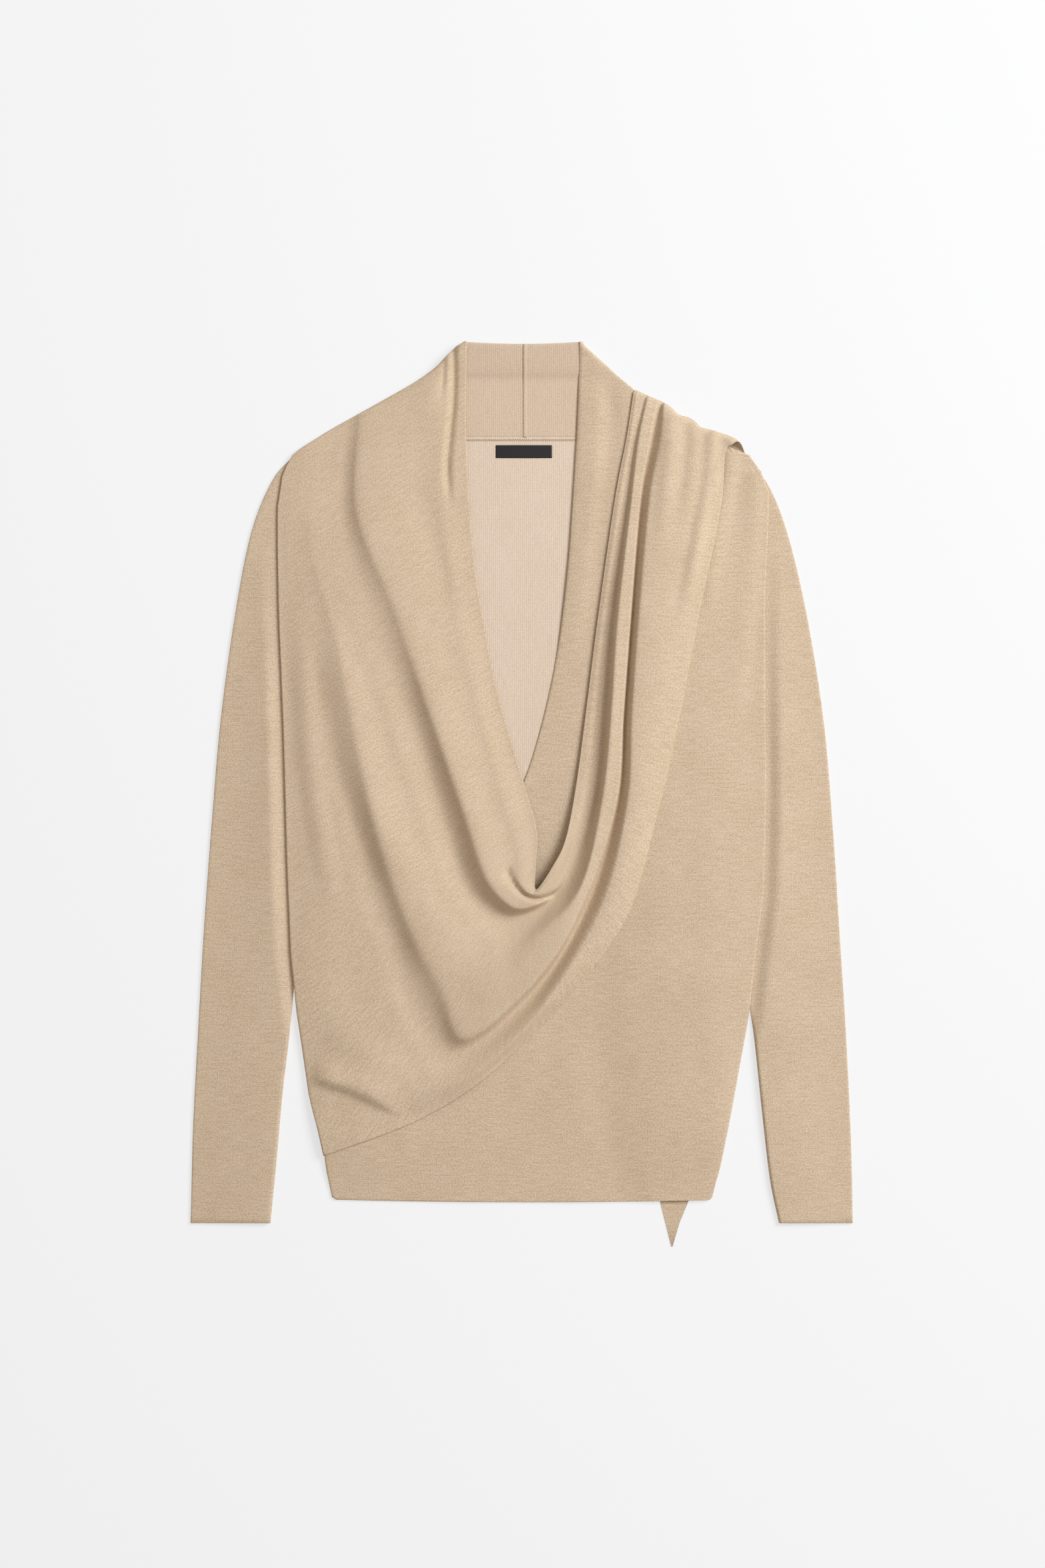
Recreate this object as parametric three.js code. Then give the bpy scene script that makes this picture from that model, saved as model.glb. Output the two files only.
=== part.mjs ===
// Wrap cardigan in fine jersey, laid flat on its back with the front up.
// The wearer's right front is a long panel: it swags across the chest in rolled folds,
// goes over the wearer's left shoulder and lies as a pointed tail under the back.
// Millimetres. X runs to the wearer's left, Y to the neck, Z up from the surface.

import * as THREE from 'three';

// Cloth and layers
const WALL = 1.2;            // thickness of a cloth wall
const GAP = 0.5;             // clear space between two layers that lie on each other
const SEAM = 0.3;            // clear space between two pieces along a seam
const LAYER = WALL + GAP;    // step from one layer to the next
const FLOOR = WALL / 2;      // middle of a wall that rests on the surface
const HEM_Y = -334;          // body hem
const NECK_SEAM_Y = 294.8;   // seam between back and collar
const COLLAR_TOP_Y = 373.4;  // top of the rolled collar
const CENTRE_BACK_X = 0.5;   // seam between the collar's halves

// Sides of the body, from the shoulder tip down to the hem
const RIGHT_SIDE = [
  { x: -188.5, y: 279 }, { x: -196.5, y: 265 }, { x: -201, y: 236 }, { x: -201, y: 205 },
  { x: -200, y: 150 }, { x: -196, y: 50 }, { x: -193, y: -60 }, { x: -190, y: -130 },
  { x: -184.5, y: -180 },
  { x: -181.5, y: -200 }, { x: -174.8, y: -246 }, { x: -165, y: -292 }, { x: -160.5, y: -312 },
  { x: -156.5, y: -334 },
];
const LEFT_SIDE = [
  { x: 187, y: 279 }, { x: 196, y: 266 }, { x: 203, y: 248 }, { x: 202, y: 215 },
  { x: 199.5, y: 170 }, { x: 199.5, y: 90 },
  { x: 200.5, y: 0 }, { x: 198.5, y: -80 }, { x: 192, y: -130 }, { x: 186, y: -180 },
  { x: 182.3, y: -200 }, { x: 171, y: -262 }, { x: 163.5, y: -300 }, { x: 155.5, y: -334 },
];

// Sleeves, flattened tubes: rings from the armhole (first) to the cuff (last)
const RIGHT_SLEEVE = [
  { outX: -188, outY: 280, inX: -182, inY: 85, puff: 0 },
  { outX: -206, outY: 258.5, inX: -183, inY: 40, puff: 0.4 },
  { outX: -223.2, outY: 216, inX: -183, inY: -5, puff: 1.4 },
  { outX: -236.3, outY: 150, inX: -183, inY: -60, puff: 2.2 },
  { outX: -248.4, outY: 62, inX: -184, inY: -110, puff: 2.6 },
  { outX: -256, outY: -26, inX: -188.5, inY: -160, puff: 2.4 },
  { outX: -262.4, outY: -114, inX: -193, inY: -205, puff: 2 },
  { outX: -267.4, outY: -202, inX: -197.9, inY: -246, puff: 2 },
  { outX: -271.2, outY: -275, inX: -202, inY: -292, puff: 1.6 },
  { outX: -273.2, outY: -353, inX: -207.8, inY: -353, puff: 1.2 },
];
const LEFT_SLEEVE = [
  { outX: 185, outY: 279, inX: 182, inY: 85, puff: 0 },
  { outX: 203.5, outY: 254, inX: 183, inY: 40, puff: 0.2 },
  { outX: 218.6, outY: 215.6, inX: 184, inY: -5, puff: 0.8 },
  { outX: 234.3, outY: 149.6, inX: 185, inY: -60, puff: 1.4 },
  { outX: 248.4, outY: 61.6, inX: 185, inY: -110, puff: 1.8 },
  { outX: 256, outY: -26, inX: 187, inY: -165, puff: 2 },
  { outX: 261.7, outY: -114, inX: 192, inY: -204, puff: 2 },
  { outX: 267.2, outY: -202, inX: 198.8, inY: -268, puff: 2 },
  { outX: 271.2, outY: -290, inX: 204.8, inY: -318, puff: 1.6 },
  { outX: 272.5, outY: -353, inX: 212, inY: -353, puff: 1.2 },
];
const SLEEVE_HOLLOW = 1.8;   // height between the middles of a flattened sleeve's walls
const PUFF_EDGE = { from: 3, wide: 12, inner: 0.9 };   // where a sleeve's puff starts beside the body

// Tail of the wrap under the back: its two edges from the shoulder down to the tip
const TAIL = [
  { y: 331, left: 91.5, right: 150 }, { y: 289, left: 90, right: 182 },
  { y: 255, left: 89, right: 178 }, { y: 180, left: 88, right: 171 }, { y: 0, left: 89, right: 168 },
  { y: -180, left: 93, right: 162 }, { y: -280, left: 100, right: 152 },
  { y: -334, left: 113.5, right: 137.5 }, { y: -343, left: 115.8, right: 134 },
  { y: -353, left: 118.3, right: 129.8 }, { y: -362, left: 120.4, right: 126.5 },
  { y: -370, left: 122.2, right: 124.8 }, { y: -372.6, left: 123, right: 124.2 },
];

// Swagged front. Each row is a section from the finished edge to the side or hem. Between them
// lie the rim of the loop, three crests, and a valley beside the first and the second crest.
const SWAG = [
  { edge: [-46, 373], rim: [-70, 352], crest1: [-133, 313.3], valley1: [-146, 306.3],
    inner2: [-157, 300.3], outer2: [-167, 294.7],
    valley2: [-176, 289], crest3: [-183, 284], end: [-190, 278.5] },
  { edge: [-46, 285], rim: [-73, 269], crest1: [-135, 233.4], valley1: [-150, 225],
    inner2: [-163, 217.6], outer2: [-174.5, 211], valley2: [-184, 205.4], crest3: [-191.5, 201],
    end: [-202, 195] },
  { edge: [-39, 188], rim: [-62, 175], crest1: [-104, 152], valley1: [-122, 142.3],
    inner2: [-137, 134.2], outer2: [-152.5, 125.8], valley2: [-167, 117.5], crest3: [-177, 112],
    end: [-199, 100] },
  { edge: [-22, 92], rim: [-42, 82], crest1: [-75, 65.4], valley1: [-92, 57], inner2: [-108, 49],
    outer2: [-135, 35.3], valley2: [-152, 26.8], crest3: [-163, 21.2], end: [-195.5, 5] },
  { edge: [0.5, 12], rim: [-20, 1.2], crest1: [-48, -15], valley1: [-64, -23.8], inner2: [-82, -33.6],
    outer2: [-114, -50.5], valley2: [-131, -59.6], crest3: [-143, -66.4], end: [-192.5, -95] },
  { edge: [12, -30], rim: [-6, -45], crest1: [-31, -66.3], valley1: [-43.7, -77], inner2: [-58, -89],
    outer2: [-90, -116], valley2: [-107, -130.5], crest3: [-118, -139.5], end: [-183, -195] },
  { edge: [12, -58], rim: [-2.5, -72], crest1: [-12.5, -90], valley1: [-17.5, -99], inner2: [-33, -119],
    outer2: [-66, -162], valley2: [-86, -186], crest3: [-94, -202], end: [-163.5, -297] },
  { edge: [10.4, -74.7], rim: [9, -78.5], crest1: [4.5, -92], valley1: [2, -99.5], inner2: [-12, -137],
    outer2: [-36, -191], valley2: [-45, -210.5], crest3: [-53, -231], end: [-75, -262] },
  { edge: [27, -54], rim: [28, -60.5], crest1: [24.6, -83], valley1: [23.4, -91],
    inner2: [21.6, -103], outer2: [17, -146], valley2: [11.5, -171], crest3: [5.4, -189],
    end: [-2, -207] },
  { edge: [40.5, -25], rim: [42.5, -31], crest1: [43.4, -56], valley1: [46.4, -66.5],
    inner2: [49.4, -72.4], outer2: [53.2, -82], valley2: [58, -91], crest3: [62.8, -98],
    end: [79, -113] },
  { edge: [44.6, 8], rim: [49, 6], crest1: [56.5, 3], valley1: [62.5, 0.8], inner2: [65.7, -0.3],
    outer2: [77.6, -5.1], valley2: [81, -6.4], crest3: [86, -8.4], end: [110, -18] },
  { edge: [53.2, 72], rim: [57, 71.4], crest1: [62, 70.7], valley1: [69, 69.5], inner2: [72.8, 68.9],
    outer2: [83, 67.1], valley2: [86, 66.7], crest3: [89.6, 66], end: [128, 60] },
  { edge: [62.5, 145], rim: [65.8, 145], crest1: [70, 145], valley1: [75.3, 145], inner2: [78, 145],
    outer2: [88.6, 145], valley2: [91.4, 145], crest3: [94.6, 145], end: [144, 145] },
  { edge: [76.5, 243], rim: [80, 242.5], crest1: [83.6, 242.2], valley1: [87, 242],
    inner2: [89.6, 241.8], outer2: [96.8, 241.5], valley2: [99.8, 241.3], crest3: [105.4, 241],
    end: [163, 238] },
  { edge: [86, 293], rim: [88.6, 292], crest1: [91, 291.6], valley1: [93.2, 291.3], inner2: [95.6, 291],
    outer2: [105, 290], valley2: [110, 289.7], crest3: [113.6, 289.3], end: [166.5, 281.5] },
  { edge: [91.8, 331], rim: [94.6, 329.6], crest1: [97.6, 328.2], valley1: [100.8, 326.6],
    inner2: [103, 325.6], outer2: [110.6, 323], valley2: [114.4, 321.5], crest3: [117, 320.2],
    end: [173, 289.6] },
];
// Rise of each guide above the layers it lies on, one row for each section of the swag
const SWAG_RISE = [
  { edge: 2.4, rim: 6, crest1: 2.4, valley1: 1.2, inner2: 0.8, outer2: 0.6, valley2: 0.4, crest3: 0.3,
    end: 0 },
  { edge: 2.4, rim: 6.4, crest1: 3.6, valley1: 1.4, inner2: 1.4, outer2: 1.2, valley2: 0.6, crest3: 0.5,
    end: 0 },
  { edge: 0.4, rim: 3.2, crest1: 6.4, valley1: 1.2, inner2: 2.2, outer2: 3, valley2: 0.8, crest3: 0.8,
    end: 0 },
  { edge: 0.3, rim: 4.2, crest1: 10, valley1: 0.6, inner2: 2.8, outer2: 5.6, valley2: 0.6, crest3: 1,
    end: 0 },
  { edge: 0.3, rim: 5.6, crest1: 12, valley1: 0.5, inner2: 3.6, outer2: 7.6, valley2: 0.5, crest3: 1.2,
    end: 0 },
  { edge: 2.4, rim: 7, crest1: 12.6, valley1: 0.5, inner2: 4.6, outer2: 9.2, valley2: 0.5, crest3: 1.4,
    end: 0.3 },
  { edge: 6, rim: 10, crest1: 12, valley1: 0.5, inner2: 6.4, outer2: 10.2, valley2: 0.5, crest3: 1.8,
    end: 0.6 },
  { edge: 9.5, rim: 11.5, crest1: 10.5, valley1: 0.6, inner2: 9.4, outer2: 9.6, valley2: 0.4,
    crest3: 1.8, end: 0.4 },
  { edge: 10, rim: 9.8, crest1: 7.6, valley1: 0.4, inner2: 10.8, outer2: 10, valley2: 0.3, crest3: 5.6,
    end: 0.4 },
  { edge: 7.6, rim: 6.8, crest1: 3.4, valley1: 0.3, inner2: 12.2, outer2: 7.8, valley2: 0.3,
    crest3: 8.8, end: 0.3 },
  { edge: 3.2, rim: 3.2, crest1: 1.4, valley1: 0.3, inner2: 11.8, outer2: 6.6, valley2: 0.3,
    crest3: 9.6, end: 0 },
  { edge: 1.8, rim: 2.2, crest1: 1, valley1: 0.3, inner2: 11, outer2: 6, valley2: 0.3, crest3: 9.8,
    end: 0 },
  { edge: 1.2, rim: 1.8, crest1: 0.9, valley1: 0.3, inner2: 9.6, outer2: 5.4, valley2: 0.3, crest3: 9.4,
    end: 0 },
  { edge: 0.8, rim: 1.6, crest1: 0.9, valley1: 0.5, inner2: 6.6, outer2: 4, valley2: 0.3, crest3: 8.6,
    end: 0 },
  { edge: 0.7, rim: 1.5, crest1: 1, valley1: 0.8, inner2: 4.6, outer2: 3, valley2: 0.3, crest3: 7.4,
    end: 1.5 },
  { edge: 0.6, rim: 1.4, crest1: 1, valley1: 0.8, inner2: 3, outer2: 2.2, valley2: 0.8, crest3: 5,
    end: 4.5 },
];
const SOLID_RISE = 0.8;      // share of the rise that the solid cloth has, so that its wall stays clear
const HEM_CORNER = 6;        // section where the outer edge turns from the side to the hem
const GUIDES = ['edge', 'rim', 'crest1', 'valley1', 'inner2', 'outer2', 'valley2', 'crest3', 'end'];
const STEPS_BETWEEN_GUIDES = [3, 2, 3, 2, 3, 1, 2, 6];
const STEPS_PER_SECTION = 4;
const SHOULDER_FADE = 0.7;   // part of the last section over which its rows come onto the shoulder

// Lines of the two shoulders that the swag starts and ends on
const RIGHT_SHOULDER = [
  [-190, 278.5], [-182, 284.7], [-174, 289.8], [-158, 299.7], [-134, 312.7], [-110, 326], [-94, 335],
  [-86, 339.6], [-78, 345.2], [-70, 351.3], [-62, 360], [-54, 367.8], [-46, 372.5],
];
const SWAG_SHOULDER = [
  [91.8, 331], [103, 325.8], [113.5, 321.5], [122, 316], [125, 312], [128.5, 309.5], [135, 308.3],
  [141, 305.2], [145, 299.8], [155.5, 297.4], [165, 294.2], [170, 292.2], [173, 289.6],
];

// Soft folds of the swagged front: a line of points, its rise, how far it spreads to the left
// and to the right of the line as it is walked, and the share of the line over which each end fades
const FADE = 0.25;
const KEEP = 0.01;
const SWAG_FOLDS = [
  { name: 'broad swag', rise: 3, left: 26, right: 34, start: FADE, end: FADE,
    line: [[-92, -10], [-78, -85], [-50, -130], [-18, -142], [16, -122], [40, -95]] },
  { name: 'lower swag', rise: 2.4, left: 26, right: 26, start: FADE, end: FADE,
    line: [[-165, -130], [-146, -195], [-104, -236], [-50, -240], [0, -210]] },
  { name: 'panel ridge', rise: 2.6, left: 20, right: 20, start: FADE, end: FADE,
    line: [[-158, 150], [-150, 90], [-136, 20], [-112, -40], [-92, -84]] },
  { name: 'side ridge', rise: 1.6, left: 14, right: 14, start: FADE, end: FADE,
    line: [[-184, 150], [-178, 60], [-168, -20], [-152, -110]] },
  { name: 'neck pleat', rise: 2, left: 18, right: 5, start: FADE, end: FADE,
    line: [[-82, 344], [-82.5, 330], [-80, 308]] },
  { name: 'shoulder ridge', rise: 2.2, left: 12, right: 10, start: KEEP, end: FADE,
    line: [[124, 314], [122.5, 291], [119.4, 258], [116.5, 226], [113, 180]] },
  { name: 'second shoulder ridge', rise: 2, left: 13, right: 10, start: KEEP, end: FADE,
    line: [[142, 305], [142.5, 290], [141, 268], [136, 235], [128, 185]] },
  { name: 'hem ridge', rise: 2.8, left: 9, right: 9, start: KEEP, end: FADE,
    line: [[157, 298], [156, 275], [154, 255], [148, 225], [139, 180], [126, 130]] },
  { name: 'corner crease', rise: 5, left: 24, right: 4.2, start: 0.3, end: 0.5,
    line: [[-178, -233.5], [-165, -237], [-148, -241.5], [-130, -249], [-112, -258.5], [-96, -268]] },
];

// Under front: each row is a section from its finished edge to the far side
const UNDER = [
  { edge: [47.6, 372.5], side: [186, 279] },
  { edge: [45.2, 300], side: [203.5, 225] },
  { edge: [38, 190], side: [200.5, 140] },
  { edge: [26, 100], side: [201, 50] },
  { edge: [4, 17], side: [201, -30] },
  { edge: [-30, -55], side: [196.5, -105] },
  { edge: [-75, -128], side: [187, -180] },
  { edge: [-120, -183], side: [173.5, -255] },
  { edge: [-158, -232], side: [163, -305] },
  { edge: [-163, -292], side: [160.3, -326] },
  { edge: [-156.5, -334], side: [155, -334.3] },
];
const UNDER_SHOULDER = [
  [47.6, 372.5], [53, 366.5], [60, 360.3], [72, 349.5], [84, 339.5], [90, 334.5], [100, 322],
  [135, 303], [166, 288], [176, 283], [186, 279],
];
const UNDER_FOLDS = [
  { name: 'side ridge', rise: 1, left: 12, right: 16, start: KEEP, end: FADE,
    line: [[193, 268], [192, 240], [190.5, 210], [187, 160], [181, 110], [176, 60]] },
  { name: 'inner side ridge', rise: 1.4, left: 12, right: 9, start: KEEP, end: FADE,
    line: [[171, 284], [170, 262], [163, 225], [156, 180], [149, 140]] },
  { name: 'neckline ridge', rise: 2.6, left: 9, right: 30, start: 0.4, end: 0.15,
    line: [[48, 372], [46.4, 330], [45, 297], [42.5, 240], [38, 190], [32, 140], [26, 100]] },
];

// Back panel's top edge, from the right shoulder tip round the neck to the left one
const BACK_TOP = [
  [-188.5, 279], [-134, 310.5], [-84, 338], [-66, 314], [-52, NECK_SEAM_Y], [0, NECK_SEAM_Y],
  [53, NECK_SEAM_Y], [68, 314], [84, 333], [100, 320], [135, 301], [166, 285], [187, 279],
];

// Collar, seen from the side: it lies flat, turns up at a crease and rolls over its top
const COLLAR_PROFILE = [
  { y: NECK_SEAM_Y + SEAM, z: 0.6 }, { y: 308, z: 0.6 }, { y: 322, z: 0.6 }, { y: 337, z: 0.6 },
  { y: 343, z: 1 }, { y: 348, z: 2.6 }, { y: 354, z: 4 }, { y: 365, z: 5.9 }, { y: 371.6, z: 6.9 },
  { y: 372.8, z: 6 }, { y: 372.8, z: 4.2 }, { y: 371, z: 2.2 }, { y: 367, z: 0.9 }, { y: 361, z: 0.6 },
  { y: 355, z: 0.6 },
];
const COLLAR_CREASE_Y = 346;
const COLLAR_RISE = 6.3;
const COLLAR_END = { right: -48.5, left: 50 };   // hidden ends under the two fronts

// Slopes between a layer and what lifts it: where each starts and how wide it is
const SLEEVE_SLOPE = { from: 3, wide: 42, endY: -235, tall: 72 };
const TAIL_SLOPE = { from: 3, wide: 32 };
const UNDER_SLOPE = { from: 3, wide: 24 };
const NECK_SLOPE = { below: 4, clear: 0.5, from: 4, wide: 36 };
// Air under the fronts, highest a little inside each side of the body
const BODY_PUFF = {
  rise: 4, from: -14, wide: 56, fadeFrom: 60, fadeWide: 80, hemTall: 60, topY: 270, topTall: 90,
};

// Neck label, bare
const LABEL = { width: 46.2, height: 10.3, thick: 0.6, x: 1.5, y: 282.95 };

// Colours
const JERSEY = '#cdb292';
const JERSEY_INSIDE = '#d6bda4';
const SATIN = '#1c1b1e';

// Numbers between numbers

function clamp01(t) {
  return Math.min(1, Math.max(0, t));
}

function smooth(t) {
  const c = clamp01(t);
  return c * c * (3 - 2 * c);
}

function mix(a, b, t) {
  return a + (b - a) * t;
}

// Catmull-Rom curve through a list of numbers, s counted in list places
function spline(values, s) {
  const last = values.length - 1;
  const i = Math.min(last - 1, Math.max(0, Math.floor(s)));
  const t = s - i;
  const b = values[i];
  const c = values[i + 1];
  const a = i > 0 ? values[i - 1] : 2 * b - c;
  const d = i + 2 <= last ? values[i + 2] : 2 * c - b;
  return b + 0.5 * t * (c - a + t * (2 * a - 5 * b + 4 * c - d + t * (3 * (b - c) + d - a)));
}

// Place on a straight-sided line of [x, y] points, s counted in list places
function pointAt(points, s) {
  const i = Math.min(points.length - 2, Math.floor(s));
  return [0, 1].map((k) => mix(points[i][k], points[i + 1][k], s - i));
}

// Value of one column of a table at height y; the rows run downwards
function columnAt(rows, column, y) {
  if (y >= rows[0].y) return rows[0][column];
  for (let i = 1; i < rows.length; i += 1) {
    if (y >= rows[i].y) {
      const t = (y - rows[i - 1].y) / (rows[i].y - rows[i - 1].y);
      return mix(rows[i - 1][column], rows[i][column], t);
    }
  }
  return rows[rows.length - 1][column];
}

// How far the body is lifted by what it lies on

const innerEdge = (sleeve) => [
  { x: sleeve[0].outX, y: sleeve[0].outY },
  ...sleeve.map((ring) => ({ x: ring.inX, y: ring.inY })),
];
const SLEEVE_EDGES = { right: innerEdge(RIGHT_SLEEVE), left: innerEdge(LEFT_SLEEVE) };
const SLEEVE_LIFT = SLEEVE_HOLLOW + WALL + 0.7;
const TAIL_LIFT = WALL + 0.3;

function insideSide(x, y) {
  const side = x < 0 ? 'right' : 'left';
  return Math.abs(columnAt(SLEEVE_EDGES[side], 'x', y)) - Math.abs(x);
}

function lift(x, y) {
  const nearSleeve = 1 - smooth((insideSide(x, y) - SLEEVE_SLOPE.from) / SLEEVE_SLOPE.wide);
  const aboveSleeveEnd = smooth((y - SLEEVE_SLOPE.endY) / SLEEVE_SLOPE.tall);
  const overSleeve = SLEEVE_LIFT * nearSleeve * aboveSleeveEnd;
  const besideTail = Math.max(columnAt(TAIL, 'left', y) - x, x - columnAt(TAIL, 'right', y));
  const overTail = TAIL_LIFT * (1 - smooth((besideTail - TAIL_SLOPE.from) / TAIL_SLOPE.wide));
  return overSleeve + overTail * (1 - overSleeve / SLEEVE_LIFT);
}

function puff(x, y) {
  const inside = insideSide(x, y);
  const across = smooth((inside - BODY_PUFF.from) / BODY_PUFF.wide)
    * (1 - smooth((inside - BODY_PUFF.fadeFrom) / BODY_PUFF.fadeWide));
  const aboveHem = smooth((y - HEM_Y) / BODY_PUFF.hemTall);
  return BODY_PUFF.rise * across * aboveHem * smooth((BODY_PUFF.topY - y) / BODY_PUFF.topTall);
}

// Distance from a point to a line of points: how far, on which side, and how far along

function nearest(line, x, y) {
  let best = { distance: Infinity, side: 1, along: 0 };
  for (let i = 1; i < line.length; i += 1) {
    const [ax, ay] = line[i - 1];
    const [bx, by] = line[i];
    const ux = bx - ax;
    const uy = by - ay;
    const t = clamp01(((x - ax) * ux + (y - ay) * uy) / (ux * ux + uy * uy));
    const dx = x - ax - t * ux;
    const dy = y - ay - t * uy;
    const distance = Math.hypot(dx, dy);
    if (distance < best.distance) {
      best = { distance, side: ux * dy - uy * dx, along: (i - 1 + t) / (line.length - 1) };
    }
  }
  return best;
}

// Rise that soft folds give at a point: each is a rounded ridge that fades at its ends
function foldRise(folds, x, y) {
  let rise = 0;
  for (const fold of folds) {
    const { distance, side, along } = nearest(fold.line, x, y);
    const reach = side > 0 ? fold.left : fold.right;
    const ends = smooth(along / fold.start) * smooth((1 - along) / fold.end);
    rise += fold.rise * ends * (1 - smooth(distance / reach));
  }
  return rise;
}

// The fronts climb with the collar close to the neck
function neckRise(x, y) {
  const above = y - COLLAR_CREASE_Y + NECK_SLOPE.below;
  const climb = COLLAR_RISE * clamp01(above / (COLLAR_TOP_Y - COLLAR_CREASE_Y));
  const fromNeck = Math.min(Math.abs(x - COLLAR_END.right), Math.abs(x - COLLAR_END.left));
  return (climb + NECK_SLOPE.clear) * (1 - smooth((fromNeck - NECK_SLOPE.from) / NECK_SLOPE.wide));
}

// Middle heights of the layers

function backHeight(x, y) {
  return FLOOR + lift(x, y);
}

const UNDER_EDGE = UNDER.map((row) => row.edge);

function underHeight(x, y) {
  return backHeight(x, y) + puff(x, y) + LAYER + neckRise(x, y) + foldRise(UNDER_FOLDS, x, y);
}

// Height that the swagged front may sink to: on the under front, or beside it on the back
function swagBase(x, y) {
  const { distance, side } = nearest(UNDER_EDGE, x, y);
  const onUnder = side > 0 ? 1 : 1 - smooth((distance - UNDER_SLOPE.from) / UNDER_SLOPE.wide);
  const above = LAYER * (1 + onUnder) + onUnder * foldRise(UNDER_FOLDS, x, y);
  return backHeight(x, y) + puff(x, y) + above + neckRise(x, y);
}

// Solids

// A wall of even thickness around a grid of middle points, as one closed body.
// The grid's rows may close on themselves, which makes a tube with open ends.
function wallAround(grid, tube = false) {
  const rows = grid.length;
  const columns = grid[0].length;
  const at = (i, j) => grid[i][tube ? (j + columns) % columns : Math.min(columns - 1, Math.max(0, j))];
  const skins = [[], []];
  for (let i = 0; i < rows; i += 1) {
    for (let j = 0; j < columns; j += 1) {
      const down = at(Math.max(0, i - 1), j);
      const up = at(Math.min(rows - 1, i + 1), j);
      const along = new THREE.Vector3().subVectors(up, down).normalize();
      const across = new THREE.Vector3().subVectors(at(i, j + 1), at(i, j - 1)).normalize();
      const normal = new THREE.Vector3().crossVectors(across, along).normalize();
      skins[0].push(grid[i][j].clone().addScaledVector(normal, WALL / 2));
      skins[1].push(grid[i][j].clone().addScaledVector(normal, -WALL / 2));
    }
  }
  const points = [...skins[0], ...skins[1]];
  const faces = [];
  const quad = (a, b, c, d) => faces.push(a, b, c, a, c, d);
  const top = (i, j) => i * columns + (j % columns);
  const under = (i, j) => rows * columns + top(i, j);
  const spans = tube ? columns : columns - 1;
  for (let i = 0; i < rows - 1; i += 1) {
    for (let j = 0; j < spans; j += 1) {
      quad(top(i, j), top(i, j + 1), top(i + 1, j + 1), top(i + 1, j));
      quad(under(i, j), under(i + 1, j), under(i + 1, j + 1), under(i, j + 1));
    }
  }
  for (let j = 0; j < spans; j += 1) {
    quad(under(0, j), under(0, j + 1), top(0, j + 1), top(0, j));
    quad(top(rows - 1, j), top(rows - 1, j + 1), under(rows - 1, j + 1), under(rows - 1, j));
  }
  if (!tube) {
    for (let i = 0; i < rows - 1; i += 1) {
      quad(under(i + 1, 0), under(i, 0), top(i, 0), top(i + 1, 0));
      quad(top(i + 1, spans), top(i, spans), under(i, spans), under(i + 1, spans));
    }
  }
  return closedGeometry(points, faces);
}

// Geometry whose faces point out: its signed volume says which way round they are
function closedGeometry(points, faces) {
  let volume = 0;
  for (let i = 0; i < faces.length; i += 3) {
    const [a, b, c] = [points[faces[i]], points[faces[i + 1]], points[faces[i + 2]]];
    volume += a.dot(new THREE.Vector3().crossVectors(b, c));
  }
  if (volume < 0) faces.reverse();
  const geometry = new THREE.BufferGeometry().setFromPoints(points);
  geometry.setIndex(faces);
  geometry.computeVertexNormals();
  return geometry;
}

function clothMesh(name, geometry, colour, roughness = 0.9) {
  const material = new THREE.MeshStandardMaterial({ color: colour, roughness, metalness: 0 });
  const mesh = new THREE.Mesh(geometry, material);
  mesh.name = name;
  return mesh;
}

// Back: a surface between its top edge, its hem and its two sides, laid on what is below

function backGrid() {
  const steps = 2;
  const rows = (RIGHT_SIDE.length - 1) * steps;
  const columns = (BACK_TOP.length - 1) * steps;
  const tipRight = BACK_TOP[0];
  const tipLeft = BACK_TOP[BACK_TOP.length - 1];
  const grid = [];
  for (let i = 0; i <= rows; i += 1) {
    const right = ['x', 'y'].map((key) => spline(RIGHT_SIDE.map((p) => p[key]), i / steps));
    const left = ['x', 'y'].map((key) => spline(LEFT_SIDE.map((p) => p[key]), i / steps));
    const row = [];
    for (let j = 0; j <= columns; j += 1) {
      const top = pointAt(BACK_TOP, j / steps);
      const u = (top[0] - tipRight[0]) / (tipLeft[0] - tipRight[0]);
      const [x, y] = [0, 1].map((k) => mix(right[k], left[k], u)
        + (1 - i / rows) * (top[k] - mix(tipRight[k], tipLeft[k], u)));
      row.push(new THREE.Vector3(x, y, backHeight(x, y)));
    }
    grid.push(row);
  }
  return grid;
}

// Under front: sections from its finished edge to the side

function underGrid() {
  const columns = 15;
  const steps = 2;
  const grid = [];
  for (let i = 0; i <= (UNDER.length - 1) * steps; i += 1) {
    const s = i / steps;
    const ends = ['edge', 'side'].map((key) => [0, 1].map((k) => spline(UNDER.map((r) => r[key][k]), s)));
    const row = [];
    for (let j = 0; j <= columns; j += 1) {
      const u = j / columns;
      const straight = [mix(ends[0][0], ends[1][0], u), mix(ends[0][1], ends[1][1], u)];
      const shoulder = pointAt(UNDER_SHOULDER, u * (UNDER_SHOULDER.length - 1));
      const chord = [0, 1].map((k) => mix(UNDER[0].edge[k], UNDER[0].side[k], u));
      const near = 1 - smooth(s);
      const x = straight[0] + near * (shoulder[0] - chord[0]);
      const y = straight[1] + near * (shoulder[1] - chord[1]);
      row.push(new THREE.Vector3(x, y, underHeight(x, y)));
    }
    grid.push(row);
  }
  return grid;
}

// Value of a line of [x, y] points at x; the points run along X
function lineAt(line, x) {
  const rising = line[0][0] < line[line.length - 1][0];
  const points = rising ? line : [...line].reverse();
  if (x <= points[0][0]) return points[0][1];
  for (let i = 1; i < points.length; i += 1) {
    const [bx, by] = points[i];
    if (x <= bx) {
      const [ax, ay] = points[i - 1];
      return mix(ay, by, (x - ax) / (bx - ax));
    }
  }
  return points[points.length - 1][1];
}

// Swagged front: u counts guides from the finished edge, v counts sections of the table

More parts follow.
